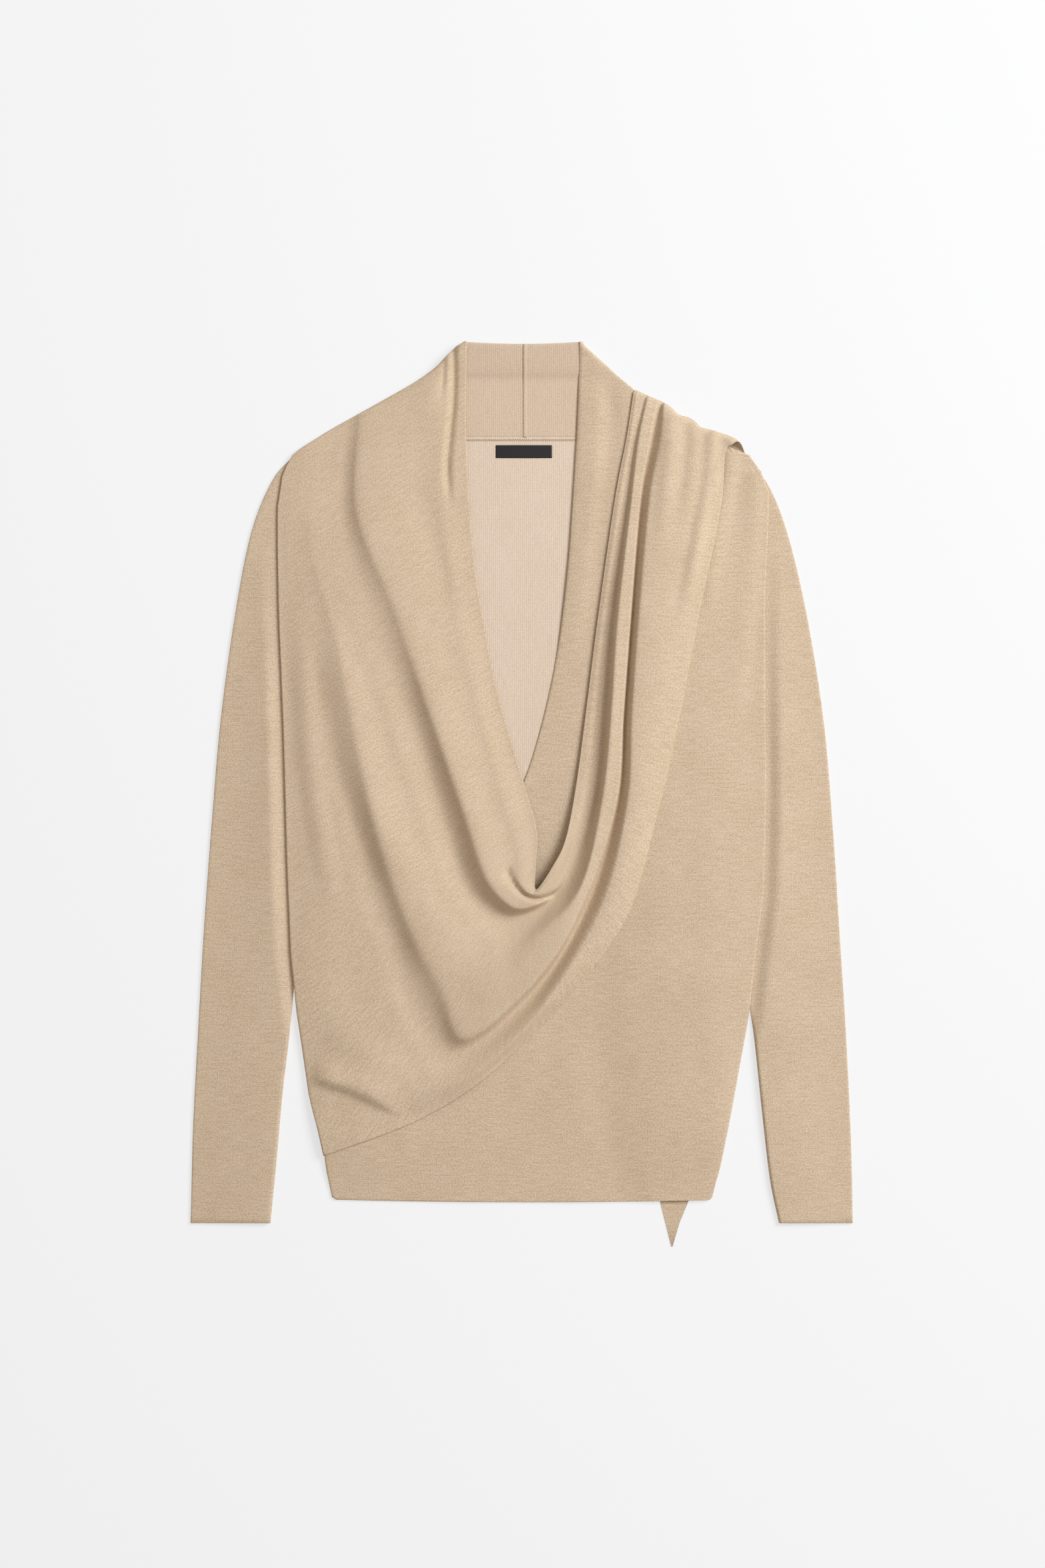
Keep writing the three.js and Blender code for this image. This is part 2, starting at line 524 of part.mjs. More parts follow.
// The last guide runs down the side as far as the hem corner, then along the hem
function guidePoint(name, v) {
  const points = SWAG.map((row) => row[name]);
  const along = (rows, s) => [0, 1].map((axis) => spline(rows.map((point) => point[axis]), s));
  if (name !== 'end') return along(points, v);
  if (v > HEM_CORNER) return along(points.slice(HEM_CORNER), v - HEM_CORNER);
  const y = along(points.slice(0, HEM_CORNER + 1), v)[1];
  return [columnAt(RIGHT_SIDE, 'x', y), y];
}

function swagPlace(u, v) {
  const k = Math.min(GUIDES.length - 2, Math.floor(u));
  const from = guidePoint(GUIDES[k], v);
  const to = guidePoint(GUIDES[k + 1], v);
  return [0, 1].map((axis) => mix(from[axis], to[axis], u - k));
}

// The first and the last row lie on the two shoulders, and the rows beside them follow
function swagPoint(u, v) {
  const last = SWAG.length - 1;
  const [x, flatY] = swagPlace(u, v);
  const [startX, startY] = swagPlace(u, 0);
  const [endX, endY] = swagPlace(u, last);
  const y = flatY + (1 - smooth(v)) * (lineAt(RIGHT_SHOULDER, startX) - startY)
    + (1 - smooth((last - v) / SHOULDER_FADE)) * (lineAt(SWAG_SHOULDER, endX) - endY);
  const k = Math.min(GUIDES.length - 2, Math.floor(u));
  const from = spline(SWAG_RISE.map((row) => row[GUIDES[k]]), v);
  const to = spline(SWAG_RISE.map((row) => row[GUIDES[k + 1]]), v);
  const rise = mix(from, to, smooth(u - k)) + foldRise(SWAG_FOLDS, x, y);
  return new THREE.Vector3(x, y, swagBase(x, y) + SOLID_RISE * Math.max(0, rise));
}

function swagColumns() {
  const columns = [0];
  STEPS_BETWEEN_GUIDES.forEach((steps, k) => {
    for (let i = 1; i <= steps; i += 1) columns.push(k + i / steps);
  });
  return columns;
}

// Turn over the shoulder: outward reach and height share of each row, from front to surface
const TURN = [
  { out: 1.9, share: 0.86 }, { out: 2.9, share: 0.6 }, { out: 2.9, share: 0.32 },
  { out: 2, share: 0.1 }, { out: 0, share: 0 },
];
const SHOULDER_OUTWARD = new THREE.Vector3(0.48, 0.88, 0);

function swagGrid() {
  const columns = swagColumns();
  const lastSection = SWAG.length - 1;
  const grid = [];
  for (let i = 0; i <= lastSection * STEPS_PER_SECTION; i += 1) {
    grid.push(columns.map((u) => swagPoint(u, i / STEPS_PER_SECTION)));
  }
  const shoulder = grid[grid.length - 1];
  for (const { out, share } of TURN) {
    grid.push(shoulder.map((point) => {
      const turned = point.clone().addScaledVector(SHOULDER_OUTWARD, out);
      turned.z = mix(FLOOR, point.z, share);
      return turned;
    }));
  }
  const first = shoulder[0];
  const last = shoulder[shoulder.length - 1];
  const reach = (point) => (point.x - first.x) / (last.x - first.x);
  for (let i = 2; i < TAIL.length; i += 1) {
    const { y, left, right } = TAIL[i];
    grid.push(shoulder.map((point) => new THREE.Vector3(mix(left, right, reach(point)), y, FLOOR)));
  }
  return grid;
}

// Sleeve: rings of a flattened tube; its top puffs up where the body doesn't cover it

function sleeveGrid(rings, side) {
  const steps = 2;
  const ends = 3;
  const acrossTop = 8;
  const acrossUnder = 5;
  const radius = SLEEVE_HOLLOW / 2;
  const grid = [];
  for (let i = 0; i <= (rings.length - 1) * steps; i += 1) {
    const s = i / steps;
    const get = (key) => spline(rings.map((ring) => ring[key]), s);
    const inner = new THREE.Vector2(get('inX'), get('inY'));
    const outer = new THREE.Vector2(get('outX'), get('outY'));
    const width = inner.distanceTo(outer);
    const puff = get('puff');
    const place = (across, z) => {
      const p = inner.clone().lerp(outer, across / width);
      return new THREE.Vector3(p.x, p.y, z);
    };
    const ring = [];
    for (let j = 0; j <= acrossTop; j += 1) {
      const p = place(mix(radius, width - radius, j / acrossTop), FLOOR + SLEEVE_HOLLOW);
      const bodyEdge = Math.abs(columnAt(side, 'x', p.y));
      const inner = smooth((1 - j / acrossTop) / PUFF_EDGE.inner);
      const shown = smooth((Math.abs(p.x) - bodyEdge - PUFF_EDGE.from) / PUFF_EDGE.wide) * inner;
      p.z += puff * shown;
      ring.push(p);
    }
    for (let j = 1; j < ends; j += 1) {
      const angle = Math.PI * (0.5 - j / ends);
      ring.push(place(width - radius + radius * Math.cos(angle), FLOOR + radius * (1 + Math.sin(angle))));
    }
    for (let j = 0; j <= acrossUnder; j += 1) {
      ring.push(place(mix(width - radius, radius, j / acrossUnder), FLOOR));
    }
    for (let j = 1; j < ends; j += 1) {
      const angle = Math.PI * (-0.5 - j / ends);
      ring.push(place(radius + radius * Math.cos(angle), FLOOR + radius * (1 + Math.sin(angle))));
    }
    grid.push(ring);
  }
  return grid;
}

// Collar half: the profile carried from its hidden end to the centre back seam

function collarGrid(fromX, toX) {
  const columns = 6;
  return COLLAR_PROFILE.map(({ y, z }) => {
    const row = [];
    for (let j = 0; j <= columns; j += 1) {
      row.push(new THREE.Vector3(mix(fromX, toX, j / columns), y, z));
    }
    return row;
  });
}

// Neck label: a flat band on the back, just under the collar seam
function labelGeometry() {
  const geometry = new THREE.BoxGeometry(LABEL.width, LABEL.height, LABEL.thick);
  geometry.translate(LABEL.x, LABEL.y, WALL + SEAM + LABEL.thick / 2);
  return geometry;
}

// The garment

const collarRight = collarGrid(COLLAR_END.right, CENTRE_BACK_X - SEAM / 2);
const collarLeft = collarGrid(CENTRE_BACK_X + SEAM / 2, COLLAR_END.left);

const cardigan = new THREE.Group();
cardigan.add(
  clothMesh('back', wallAround(backGrid()), JERSEY_INSIDE),
  clothMesh('front_left', wallAround(underGrid()), JERSEY),
  clothMesh('front_right', wallAround(swagGrid()), JERSEY),
  clothMesh('sleeve_right', wallAround(sleeveGrid(RIGHT_SLEEVE, RIGHT_SIDE), true), JERSEY),
  clothMesh('sleeve_left', wallAround(sleeveGrid(LEFT_SLEEVE, LEFT_SIDE), true), JERSEY),
  clothMesh('collar_right', wallAround(collarRight), JERSEY_INSIDE),
  clothMesh('collar_left', wallAround(collarLeft), JERSEY_INSIDE),
  clothMesh('neck_label', labelGeometry(), SATIN, 0.5),
);

export default cardigan;
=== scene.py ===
# %% [markdown]
# # A wrap cardigan in fine jersey, laid flat
#
# The real thing is a thin knitted cardigan with no buttons. The wearer's right front is cut very
# wide. Here it swags across the chest in rolled folds, goes over the left shoulder and ends as a
# pointed tail under the back. It lies on a pale table and is seen from straight above.
#
# Every piece of cloth is made the same way: a grid of points in the middle of the cloth, worked out
# from short tables of real sizes in millimetres, and then a thin closed shell around that grid.

# %% The frame
import math

import bpy
import numpy as np
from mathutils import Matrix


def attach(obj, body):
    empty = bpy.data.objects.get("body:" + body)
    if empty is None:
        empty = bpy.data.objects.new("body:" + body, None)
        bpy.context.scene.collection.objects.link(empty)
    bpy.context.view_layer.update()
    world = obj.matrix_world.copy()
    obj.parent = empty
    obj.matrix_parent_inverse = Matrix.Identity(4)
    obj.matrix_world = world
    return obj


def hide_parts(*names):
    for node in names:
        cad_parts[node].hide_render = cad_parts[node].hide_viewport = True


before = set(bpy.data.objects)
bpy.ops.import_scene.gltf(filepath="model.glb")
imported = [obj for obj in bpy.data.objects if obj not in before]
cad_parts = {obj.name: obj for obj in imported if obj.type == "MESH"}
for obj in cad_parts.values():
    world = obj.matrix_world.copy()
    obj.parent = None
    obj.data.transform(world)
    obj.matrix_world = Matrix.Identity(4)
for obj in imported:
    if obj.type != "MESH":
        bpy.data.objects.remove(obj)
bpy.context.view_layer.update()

# %% [markdown]
# ## Camera
#
# The photo is taken from straight above, with a long lens. The frame is 1568 by 2352 pixels and one
# pixel is 0.55 mm of the real garment, which gives the height of the frame and the camera's distance.

# %% Camera
PIXEL = 0.55e-3                  # metres of the real garment in one pixel
FRAME_HIGH = 2352 * PIXEL        # metres of table from the top of the frame to its bottom
FRAME_MIDDLE = (0.0003, 0.0088)  # where the middle of the frame falls on the garment
LENS, SENSOR = 100.0, 36.0       # millimetres: a long lens, so the sides of the garment aren't seen

camera_data = bpy.data.cameras.new("camera")
camera_data.lens = LENS
camera_data.sensor_width = SENSOR
camera = bpy.data.objects.new("camera", camera_data)
camera.location = (*FRAME_MIDDLE, FRAME_HIGH * LENS / SENSOR)
bpy.context.scene.collection.objects.link(camera)
bpy.context.scene.camera = camera
print("camera height:", round(camera.location.z, 3))

# %% [markdown]
# ## Table and light
#
# A white table in a bright room, with one wide window light that comes in low from the right and a
# little from the top. It gives each fold a soft dark side on its left, and the room fills the shadows.
# The cloth nearer to the window is a little brighter.

# %% Table and light
def linear(code):
    """sRGB hex to the linear colour that the shaders work in."""
    parts = [int(code[i:i + 2], 16) / 255 for i in (1, 3, 5)]
    return [c / 12.92 if c <= 0.04045 else ((c + 0.055) / 1.055) ** 2.4 for c in parts] + [1.0]


def add(tree, kind, props=None, inputs=None):
    """Adds one node. A number, colour or vector is set on its socket, and a socket is linked to it."""
    made = tree.nodes.new(kind)
    for key, value in (props or {}).items():
        setattr(made, key, value)
    for key, value in (inputs or {}).items():
        if isinstance(value, bpy.types.NodeSocket):
            tree.links.new(value, made.inputs[key])
        else:
            made.inputs[key].default_value = value
    return made


ROOM_STRENGTH = 0.44
ROOM_COLOUR = "#FFF1E2"          # the room is painted a warm white, so shadows are warmer than the light
KEY_POWER = 112.0                # watts
KEY_AWAY, KEY_SIZE = 3.5, 1.7    # metres from the garment, and across
KEY_UP, KEY_TURN = 41, 30        # degrees above the table, and from the right towards the top

scene = bpy.context.scene
scene.view_settings.view_transform = "Standard"
world = bpy.data.worlds.new("bright room")
world.use_nodes = True
world.node_tree.nodes["Background"].inputs["Color"].default_value = linear(ROOM_COLOUR)
world.node_tree.nodes["Background"].inputs["Strength"].default_value = ROOM_STRENGTH
scene.world = world

key_data = bpy.data.lights.new("soft window light", "AREA")
key_data.energy = KEY_POWER
key_data.size = KEY_SIZE
key = bpy.data.objects.new("soft window light", key_data)
up, turn = math.radians(KEY_UP), math.radians(KEY_TURN)
key.location = (KEY_AWAY * math.cos(up) * math.cos(turn), KEY_AWAY * math.cos(up) * math.sin(turn),
                KEY_AWAY * math.sin(up))
key.rotation_euler = (0, math.radians(90) - up, turn)
scene.collection.objects.link(key)
print("light height:", round(key.location.z, 3))

TABLE_GLOW = 0.665               # the table is a sheet of white acrylic; its glow is painted light that keeps the shadows on it faint
TABLE_WIDE = 8                   # metres, wider than any view of the garment
TABLE_BELOW = 0.0002             # metres under the cloth, so that the two faces never meet
bpy.ops.mesh.primitive_plane_add(size=TABLE_WIDE, location=(0, 0, -TABLE_BELOW))
table = bpy.context.object
table.name = "table"
paint = bpy.data.materials.new("matt acrylic with a painted glow")
paint.use_nodes = True
shader = paint.node_tree.nodes["Principled BSDF"]
shader.inputs["Base Color"].default_value = linear("#8F9193")
shader.inputs["Roughness"].default_value = 0.9
shader.inputs["Specular IOR Level"].default_value = 0.2
# The glow is painted light, not a lamp: it fills in the shadows on the table.
shader.inputs["Emission Color"].default_value = linear("#FAFBFD")
shader.inputs["Emission Strength"].default_value = TABLE_GLOW
table.data.materials.append(paint)

# %% [markdown]
# ## Sizes
#
# All tables are in millimetres, in the garment's own frame: X to the wearer's left, Y from the hem to
# the neck, Z up from the table. They follow the sizes of the solid pieces. Thin cloth can turn more
# sharply than their thick walls, so the folds are deeper and more crisp here.

# %% Sizes of the cloth and of the body
WALL = 1.2                   # thickness that the solids give the cloth
CLOTH = 0.6                  # thickness that shows
LAYER = 1.1                  # step from one layer of cloth to the next
FLOOR = CLOTH / 2            # middle of cloth that lies on the table
SEAM_SEWN = 0.06             # gap that shows once a seam is pulled tight
HEM_Y = -334
NECK_SEAM_Y = 294.8
COLLAR_TOP_Y = 373.4
CENTRE_BACK_X = 0.5
COLLAR_CREASE_Y = 346        # where the collar turns up
COLLAR_RISE = 6.3
COLLAR_END_RIGHT, COLLAR_END_LEFT = -48.5, 50

RIGHT_SIDE = [(-188.5, 279), (-196.5, 265), (-201, 236), (-201, 205), (-200, 150), (-196, 50),
              (-193, -60), (-190, -130), (-184.5, -180), (-181.5, -200), (-174.8, -246), (-165, -292),
              (-160.5, -312), (-156.5, -334)]
LEFT_SIDE = [(187, 279), (196, 266), (203, 248), (202, 215), (199.5, 170), (199.5, 90),
             (200.5, 0), (198.5, -80), (192, -130), (186, -180), (182.3, -200), (171, -262), (163.5, -300),
             (155.5, -334)]
print("neck seam to hem in mm:", round(NECK_SEAM_Y - HEM_Y), "hem across:",
      round(LEFT_SIDE[-1][0] - RIGHT_SIDE[-1][0]))

# %% Sizes of the sleeves: outer and inner edge of each ring, and how far its top puffs up
RIGHT_SLEEVE = [
    (-188, 280, -182, 85, 0), (-206, 258.5, -183, 40, 2.4), (-223.2, 216, -183, -5, 4.4),
    (-236.3, 150, -183, -60, 4.8), (-248.4, 62, -184, -110, 3.8), (-256, -26, -188.5, -160, 2.8),
    (-262.4, -114, -193, -205, 2), (-267.4, -202, -197.9, -246, 2), (-271.2, -275, -202, -292, 1.6),
    (-273.2, -353, -207.8, -353, 1.2),
]
LEFT_SLEEVE = [
    (185, 279, 182, 85, 0), (203.5, 254, 183, 40, 2), (218.6, 215.6, 184, -5, 4),
    (234.3, 149.6, 185, -60, 4.4), (248.4, 61.6, 185, -110, 3.6), (256, -26, 187, -165, 2.8),
    (261.7, -114, 192, -204, 2.2), (267.2, -202, 198.8, -268, 2), (271.2, -290, 204.8, -318, 1.6),
    (272.5, -353, 212, -353, 1.2),
]
SLEEVE_HOLLOW = 1.8          # from the middle of the lower cloth to the middle of the upper
SLEEVE_PUFF = 1.3            # thin cloth bulges more than the solids do, so their puffs grow by this
print("sleeve length in mm:", round(RIGHT_SLEEVE[0][1] - RIGHT_SLEEVE[-1][1]))

# %% Sizes of the tail under the back: place up the garment, and the tail's two edges there
TAIL = [(331, 91.5, 150), (289, 90, 182), (255, 89, 178), (180, 88, 171), (0, 89, 168), (-180, 93, 162),
        (-280, 100, 152), (-334, 113.5, 137.5), (-343, 115.8, 134), (-353, 118.3, 129.8),
        (-362, 120.4, 126.5), (-370, 122.2, 124.8), (-372.6, 123, 124.2)]

# %% Sizes of the front under the swag: its finished edge and its side, in pairs
UNDER = [((47.6, 372.5), (186, 279)), ((45.2, 300), (203.5, 225)), ((38, 190), (200.5, 140)),
         ((26, 100), (201, 50)), ((4, 17), (201, -30)), ((-30, -55), (196.5, -105)),
         ((-75, -128), (187, -180)), ((-120, -183), (173.5, -255)), ((-158, -232), (163, -305)),
         ((-163, -292), (160.3, -326)), ((-156.5, -334), (155, -334.3))]

# Folds: rise, reach to each side of the line, share over which each end fades out, and the line
FADE, KEEP = 0.25, 0.01
UNDER_FOLDS = [
    (1.0, 12, 16, KEEP, FADE, [(193, 268), (192, 240), (190.5, 210), (187, 160), (181, 110), (176, 60)]),
    (1.4, 12, 9, KEEP, FADE, [(171, 284), (170, 262), (163, 225), (156, 180), (149, 140)]),
    (1.8, 14, 24, FADE, FADE, [(62, 356), (61, 330), (59, 297), (56, 240), (51, 190), (44, 140),
                               (36, 100)]),
    (-0.7, 12, 12, FADE, FADE, [(66, 345), (74, 315), (74, 285), (69, 250)]),
    (-0.5, 3, 3, KEEP, KEEP, [(47.6, 372.5), (45.2, 300), (42.4, 240), (38, 190), (32.8, 145), (26, 100),
                              (4, 17)]),
    (-0.4, 3, 3, KEEP, 0.5, [(47.6, 372.5), (45.2, 300), (42.4, 240)]),
]

# %% [markdown]
# ## Curves and ridges
#
# Three small tools make all the cloth: a smooth curve through a column of a table, the distance from
# many points to a line, and a rounded ridge along a line that fades at its ends.

# %% Curves and ridges
def smooth(t):
    c = np.clip(t, 0, 1)
    return c * c * (3 - 2 * c)


def slope(value, start, length):
    """Goes smoothly from 0 at the start to 1 a length further on. A negative length goes down."""
    return smooth((value - start) / length)


def mix(a, b, t):
    return a + (b - a) * t


def spline(values, s):
    """Smooth curve through a list of numbers, s counted in list places."""
    v = np.asarray(values, float)
    last = len(v) - 1
    i = np.clip(np.floor(s).astype(int), 0, last - 1)
    t = s - i
    b, c = v[i], v[i + 1]
    a = np.where(i > 0, v[np.maximum(i - 1, 0)], 2 * b - c)
    d = np.where(i + 2 <= last, v[np.minimum(i + 2, last)], 2 * c - b)
    return b + 0.5 * t * (c - a + t * (2 * a - 5 * b + 4 * c - d + t * (3 * (b - c) + d - a)))


def column(table_rows, k):
    return [row[k] for row in table_rows]


def at_height(rows, k, y):
    """Column k of a table whose rows run downwards in Y, which is their first column."""
    return np.interp(y, column(rows, 0)[::-1], column(rows, k)[::-1])


def nearest(line, x, y):
    """Distance from points to a line, on which side of it they are, and how far along."""
    best = np.full(np.shape(x), np.inf)
    side = np.ones(np.shape(x))
    along = np.zeros(np.shape(x))
    for i, ((ax, ay), (bx, by)) in enumerate(zip(line, line[1:])):
        ux, uy = bx - ax, by - ay
        t = np.clip(((x - ax) * ux + (y - ay) * uy) / (ux * ux + uy * uy), 0, 1)
        dx, dy = x - ax - t * ux, y - ay - t * uy
        distance = np.hypot(dx, dy)
        closer = distance < best
        best = np.where(closer, distance, best)
        side = np.where(closer, ux * dy - uy * dx, side)
        along = np.where(closer, (i + t) / (len(line) - 1), along)
    return best, side, along


def fine_line(line, steps=6):
    s = np.linspace(0, len(line) - 1, (len(line) - 1) * steps + 1)
    return list(zip(spline(column(line, 0), s), spline(column(line, 1), s)))


CREASE_REACH = 6             # millimetres: a fold's side that is shorter than this is creased


def fold_rise(folds, x, y):
    rise = np.zeros(np.shape(x))
    for height, left, right, start, end, line in folds:
        distance, side, along = nearest(fine_line(line), x, y)
        reach = np.where(side > 0, left, right)
        ends = smooth(along / start) * smooth((1 - along) / end)
        away = np.clip(distance / reach, 0, 1)
        profile = np.where(reach < CREASE_REACH, (1 - away) ** 2, 1 - smooth(away))
        rise = rise + height * ends * profile
    return rise


# %% [markdown]
# ## Which layer lies how high
#
# The tail and the sleeves lie on the table, and the body is lifted where it lies over them. The front
# under the swag lies on the back, and the swag lies on both. Near the neck the fronts climb with the
# collar.

# %% Heights of the layers
def sleeve_edge(rings):
    """Edge of a sleeve under the body, as rows of height and place across."""
    return [(rings[0][1], rings[0][0])] + [(ring[3], ring[2]) for ring in rings]


SLEEVE_LIFT = SLEEVE_HOLLOW + LAYER
TAIL_LIFT = WALL + 0.3
BODY_PUFF = 4.0
FLAT_EDGE = 3                # millimetres beside an edge where the cloth over it is still flat
SLEEVE_SLOPE, TAIL_SLOPE, UNDER_SLOPE, NECK_SLOPE = 42, 32, 24, 36   # length of each slope after that
SLEEVE_OUT = (-235, 72)      # start and length of the slope above where a sleeve leaves the body
PUFF_SIDE, PUFF_INNER = (-14, 56), (60, 80)    # the same for the puff, inwards from the side
PUFF_HEM, PUFF_TOP = (-334, 60), (270, -90)    # and up from the hem and down from the shoulder
NECK_START = 4               # millimetres below the collar's crease and beside its ends
NECK_CLEAR = 0.5             # how far above the collar's height the fronts lie beside the neck


def inside_side(x, y):
    """How far a point is inside the nearer side of the body."""
    right = np.abs(at_height(sleeve_edge(RIGHT_SLEEVE), 1, y))
    left = np.abs(at_height(sleeve_edge(LEFT_SLEEVE), 1, y))
    return np.where(x < 0, right, left) - np.abs(x)


def lift(x, y):
    inside = inside_side(x, y)
    over_sleeve = SLEEVE_LIFT * (1 - slope(inside, FLAT_EDGE, SLEEVE_SLOPE)) * slope(y, *SLEEVE_OUT)
    beside_tail = np.maximum(at_height(TAIL, 1, y) - x, x - at_height(TAIL, 2, y))
    over_tail = TAIL_LIFT * (1 - slope(beside_tail, FLAT_EDGE, TAIL_SLOPE))
    return over_sleeve + over_tail * (1 - over_sleeve / SLEEVE_LIFT)


def puff(x, y):
    """Air under the fronts, a little inside each side of the body."""
    inside = inside_side(x, y)
    across = slope(inside, *PUFF_SIDE) * (1 - slope(inside, *PUFF_INNER))
    return BODY_PUFF * across * slope(y, *PUFF_HEM) * slope(y, *PUFF_TOP)


def neck_rise(x, y):
    """The fronts climb with the collar, and lie a little above it all the way down the neck."""
    above = y - COLLAR_CREASE_Y + NECK_START
    climb = COLLAR_RISE * np.clip(above / (COLLAR_TOP_Y - COLLAR_CREASE_Y), 0, 1)
    from_neck = np.minimum(np.abs(x - COLLAR_END_RIGHT), np.abs(x - COLLAR_END_LEFT))
    return (climb + NECK_CLEAR) * (1 - slope(from_neck, NECK_START, NECK_SLOPE))


def back_height(x, y):
    return FLOOR + lift(x, y)


def under_height(x, y):
    return back_height(x, y) + puff(x, y) + LAYER + neck_rise(x, y) + fold_rise(UNDER_FOLDS, x, y)


def swag_base(x, y):
    distance, side, _ = nearest(column(UNDER, 0), x, y)
    on_under = np.where(side > 0, 1, 1 - slope(distance, FLAT_EDGE, UNDER_SLOPE))
    return back_height(x, y) + puff(x, y) + LAYER * (1 + on_under) + neck_rise(x, y)


# %% Edges and lengths
SIDE_ROLL, HEM_ROLL = 1.0, 0.25   # share of the way down to the back that an edge rolls
ROLL_REACH = 2.4                  # most that a roll is deep, in millimetres
ROLL_COLUMNS = 5


def follow(flat, row, line, fade):
    """Moves rows up or down so that the given row lies on a line, fading away from it."""
    x, y = flat[row, :, 0], flat[row, :, 1]
    wanted = np.interp(x, column(line, 0), column(line, 1))
    flat[..., 1] += fade[:, None] * (wanted - y)


def roll_edge(grid, share, outward):
    """Adds columns that roll the last column down to the height of the back."""
    edge = grid[:, -1]
    drop = (edge[:, 2] - back_height(edge[:, 0], edge[:, 1])) * share
    columns = [grid]
    reach = np.minimum(drop, ROLL_REACH) / 2
    for angle in np.linspace(0, math.pi, ROLL_COLUMNS + 1)[1:]:
        rolled = edge + outward * (reach * math.sin(angle))[:, None]
        rolled[:, 2] = edge[:, 2] - drop * (1 - math.cos(angle)) / 2
        columns.append(rolled[:, None])
    return np.concatenate(columns, axis=1)


def roll_top(grid, outward):
    """Adds rows that roll the first row down to the height of the back."""
    turned = np.swapaxes(grid, 0, 1)[:, ::-1]
    rolled = roll_edge(turned, 1.0, outward)
    return np.swapaxes(rolled[:, ::-1], 0, 1)


def length_map(grid):
    """Map in millimetres of cloth: across from the first column, and along from the first row."""
    across = np.linalg.norm(np.diff(grid, axis=1), axis=2)
    along = np.linalg.norm(np.diff(grid, axis=0), axis=2).mean(axis=1)
    u = np.pad(np.cumsum(across, axis=1), ((0, 0), (1, 0)))
    v = np.pad(np.cumsum(along), (1, 0))[:, None] + 0 * u
    return np.dstack([u, v])


# %% [markdown]
# ## From a grid to a shell of cloth
#
# The grid is the middle of the cloth. Moving it half the thickness along its normals, up and down,
# gives the two faces, and a rounded rim joins them. The pattern of the knit is laid on with a map in
# millimetres of cloth.

# %% Shell of cloth
MAP_UNIT = 100               # millimetres of cloth that the map counts as one
RIM = 0.4                    # how far a rim stands out, as a share of the thickness


def unit(v):
    return v / np.maximum(np.linalg.norm(v, axis=-1, keepdims=True), 1e-9)


def shell(name, middle, knit_map, material, tube=False, wall=CLOTH):
    """Closed shell around a grid of points in millimetres. A tube's rows close on themselves."""
    rows, cols = middle.shape[:2]
    along = np.gradient(middle, axis=0)
    if tube:
        across = np.roll(middle, -1, axis=1) - np.roll(middle, 1, axis=1)
    else:
        across = np.gradient(middle, axis=1)
    normal = unit(np.cross(unit(across), unit(along)))
    points = [middle + normal * wall / 2, middle - normal * wall / 2]
    maps = [knit_map, knit_map]
    out_along = unit(along) * wall * RIM
    out_across = unit(across) * wall * RIM
    top = np.arange(rows * cols).reshape(rows, cols)
    under = top + rows * cols
    faces = []

    def quads(a, b, c, d):
        faces.append(np.stack([a, b, c, d], axis=-1).reshape(-1, 4))

    if tube:
        top, under = (np.concatenate([g, g[:, :1]], axis=1) for g in (top, under))
    quads(top[:-1, :-1], top[:-1, 1:], top[1:, 1:], top[1:, :-1])
    quads(under[:-1, :-1], under[1:, :-1], under[1:, 1:], under[:-1, 1:])

    edges = [((0, slice(None)), -out_along, True), ((rows - 1, slice(None)), out_along, False)]
    if not tube:
        edges += [((slice(None), 0), -out_across, False), ((slice(None), cols - 1), out_across, True)]
    count = 2 * rows * cols
    rims = []
    for place, push, turned in edges:
        rim_points = middle[place] + push[place]
        ids = count + np.arange(len(rim_points))
        count += len(rim_points)
        points.append(rim_points[None])
        maps.append(knit_map[place][None])
        rims.append((place, ids, turned))
    if not tube:
        # The four rims meet at the corners, so the side rims take the ends of the first and last row
        first, last, low, high = (ids for _, ids, _ in rims)
        low[0], low[-1], high[0], high[-1] = first[0], last[0], first[-1], last[-1]
    for place, ids, turned in rims:
        t, u = top[place], under[place]
        if tube:
            ids = np.append(ids, ids[0])
        if turned:
            quads(t[:-1], ids[:-1], ids[1:], t[1:])
            quads(ids[:-1], u[:-1], u[1:], ids[1:])
        else:
            quads(t[:-1], t[1:], ids[1:], ids[:-1])
            quads(ids[:-1], ids[1:], u[1:], u[:-1])
    vertices = np.concatenate([p.reshape(-1, 3) for p in points]) / 1000
    mapped = np.concatenate([m.reshape(-1, 2) for m in maps])
    faces = np.concatenate(faces)
    # The side rims' own end points are no longer used, so they are left out
    used = np.zeros(len(vertices), bool)
    used[faces.ravel()] = True
    renumber = np.cumsum(used) - 1
    vertices, mapped, faces = vertices[used], mapped[used], renumber[faces]
    a, b, c, d = (vertices[faces[:, k]] for k in range(4))
    volume = np.einsum("ij,ij->i", a, np.cross(b, c) + np.cross(c, d)).sum()
    if volume < 0:
        faces = faces[:, ::-1]
    mesh = bpy.data.meshes.new(name)
    mesh.from_pydata(vertices.tolist(), [], faces.tolist())
    layer = mesh.uv_layers.new(name="knit")
    loops = np.empty(len(mesh.loops), dtype=np.int32)
    mesh.loops.foreach_get("vertex_index", loops)
    layer.data.foreach_set("uv", (mapped[loops] / MAP_UNIT).ravel())
    mesh.polygons.foreach_set("use_smooth", np.ones(len(mesh.polygons), bool))
    mesh.materials.append(material)
    mesh.update()
    made = bpy.data.objects.new(name, mesh)
    scene.collection.objects.link(made)
    area = sum(face.area for face in mesh.polygons) / 2
    print(name, "faces", len(mesh.polygons), "cloth area in m2", round(area, 4))
    return made


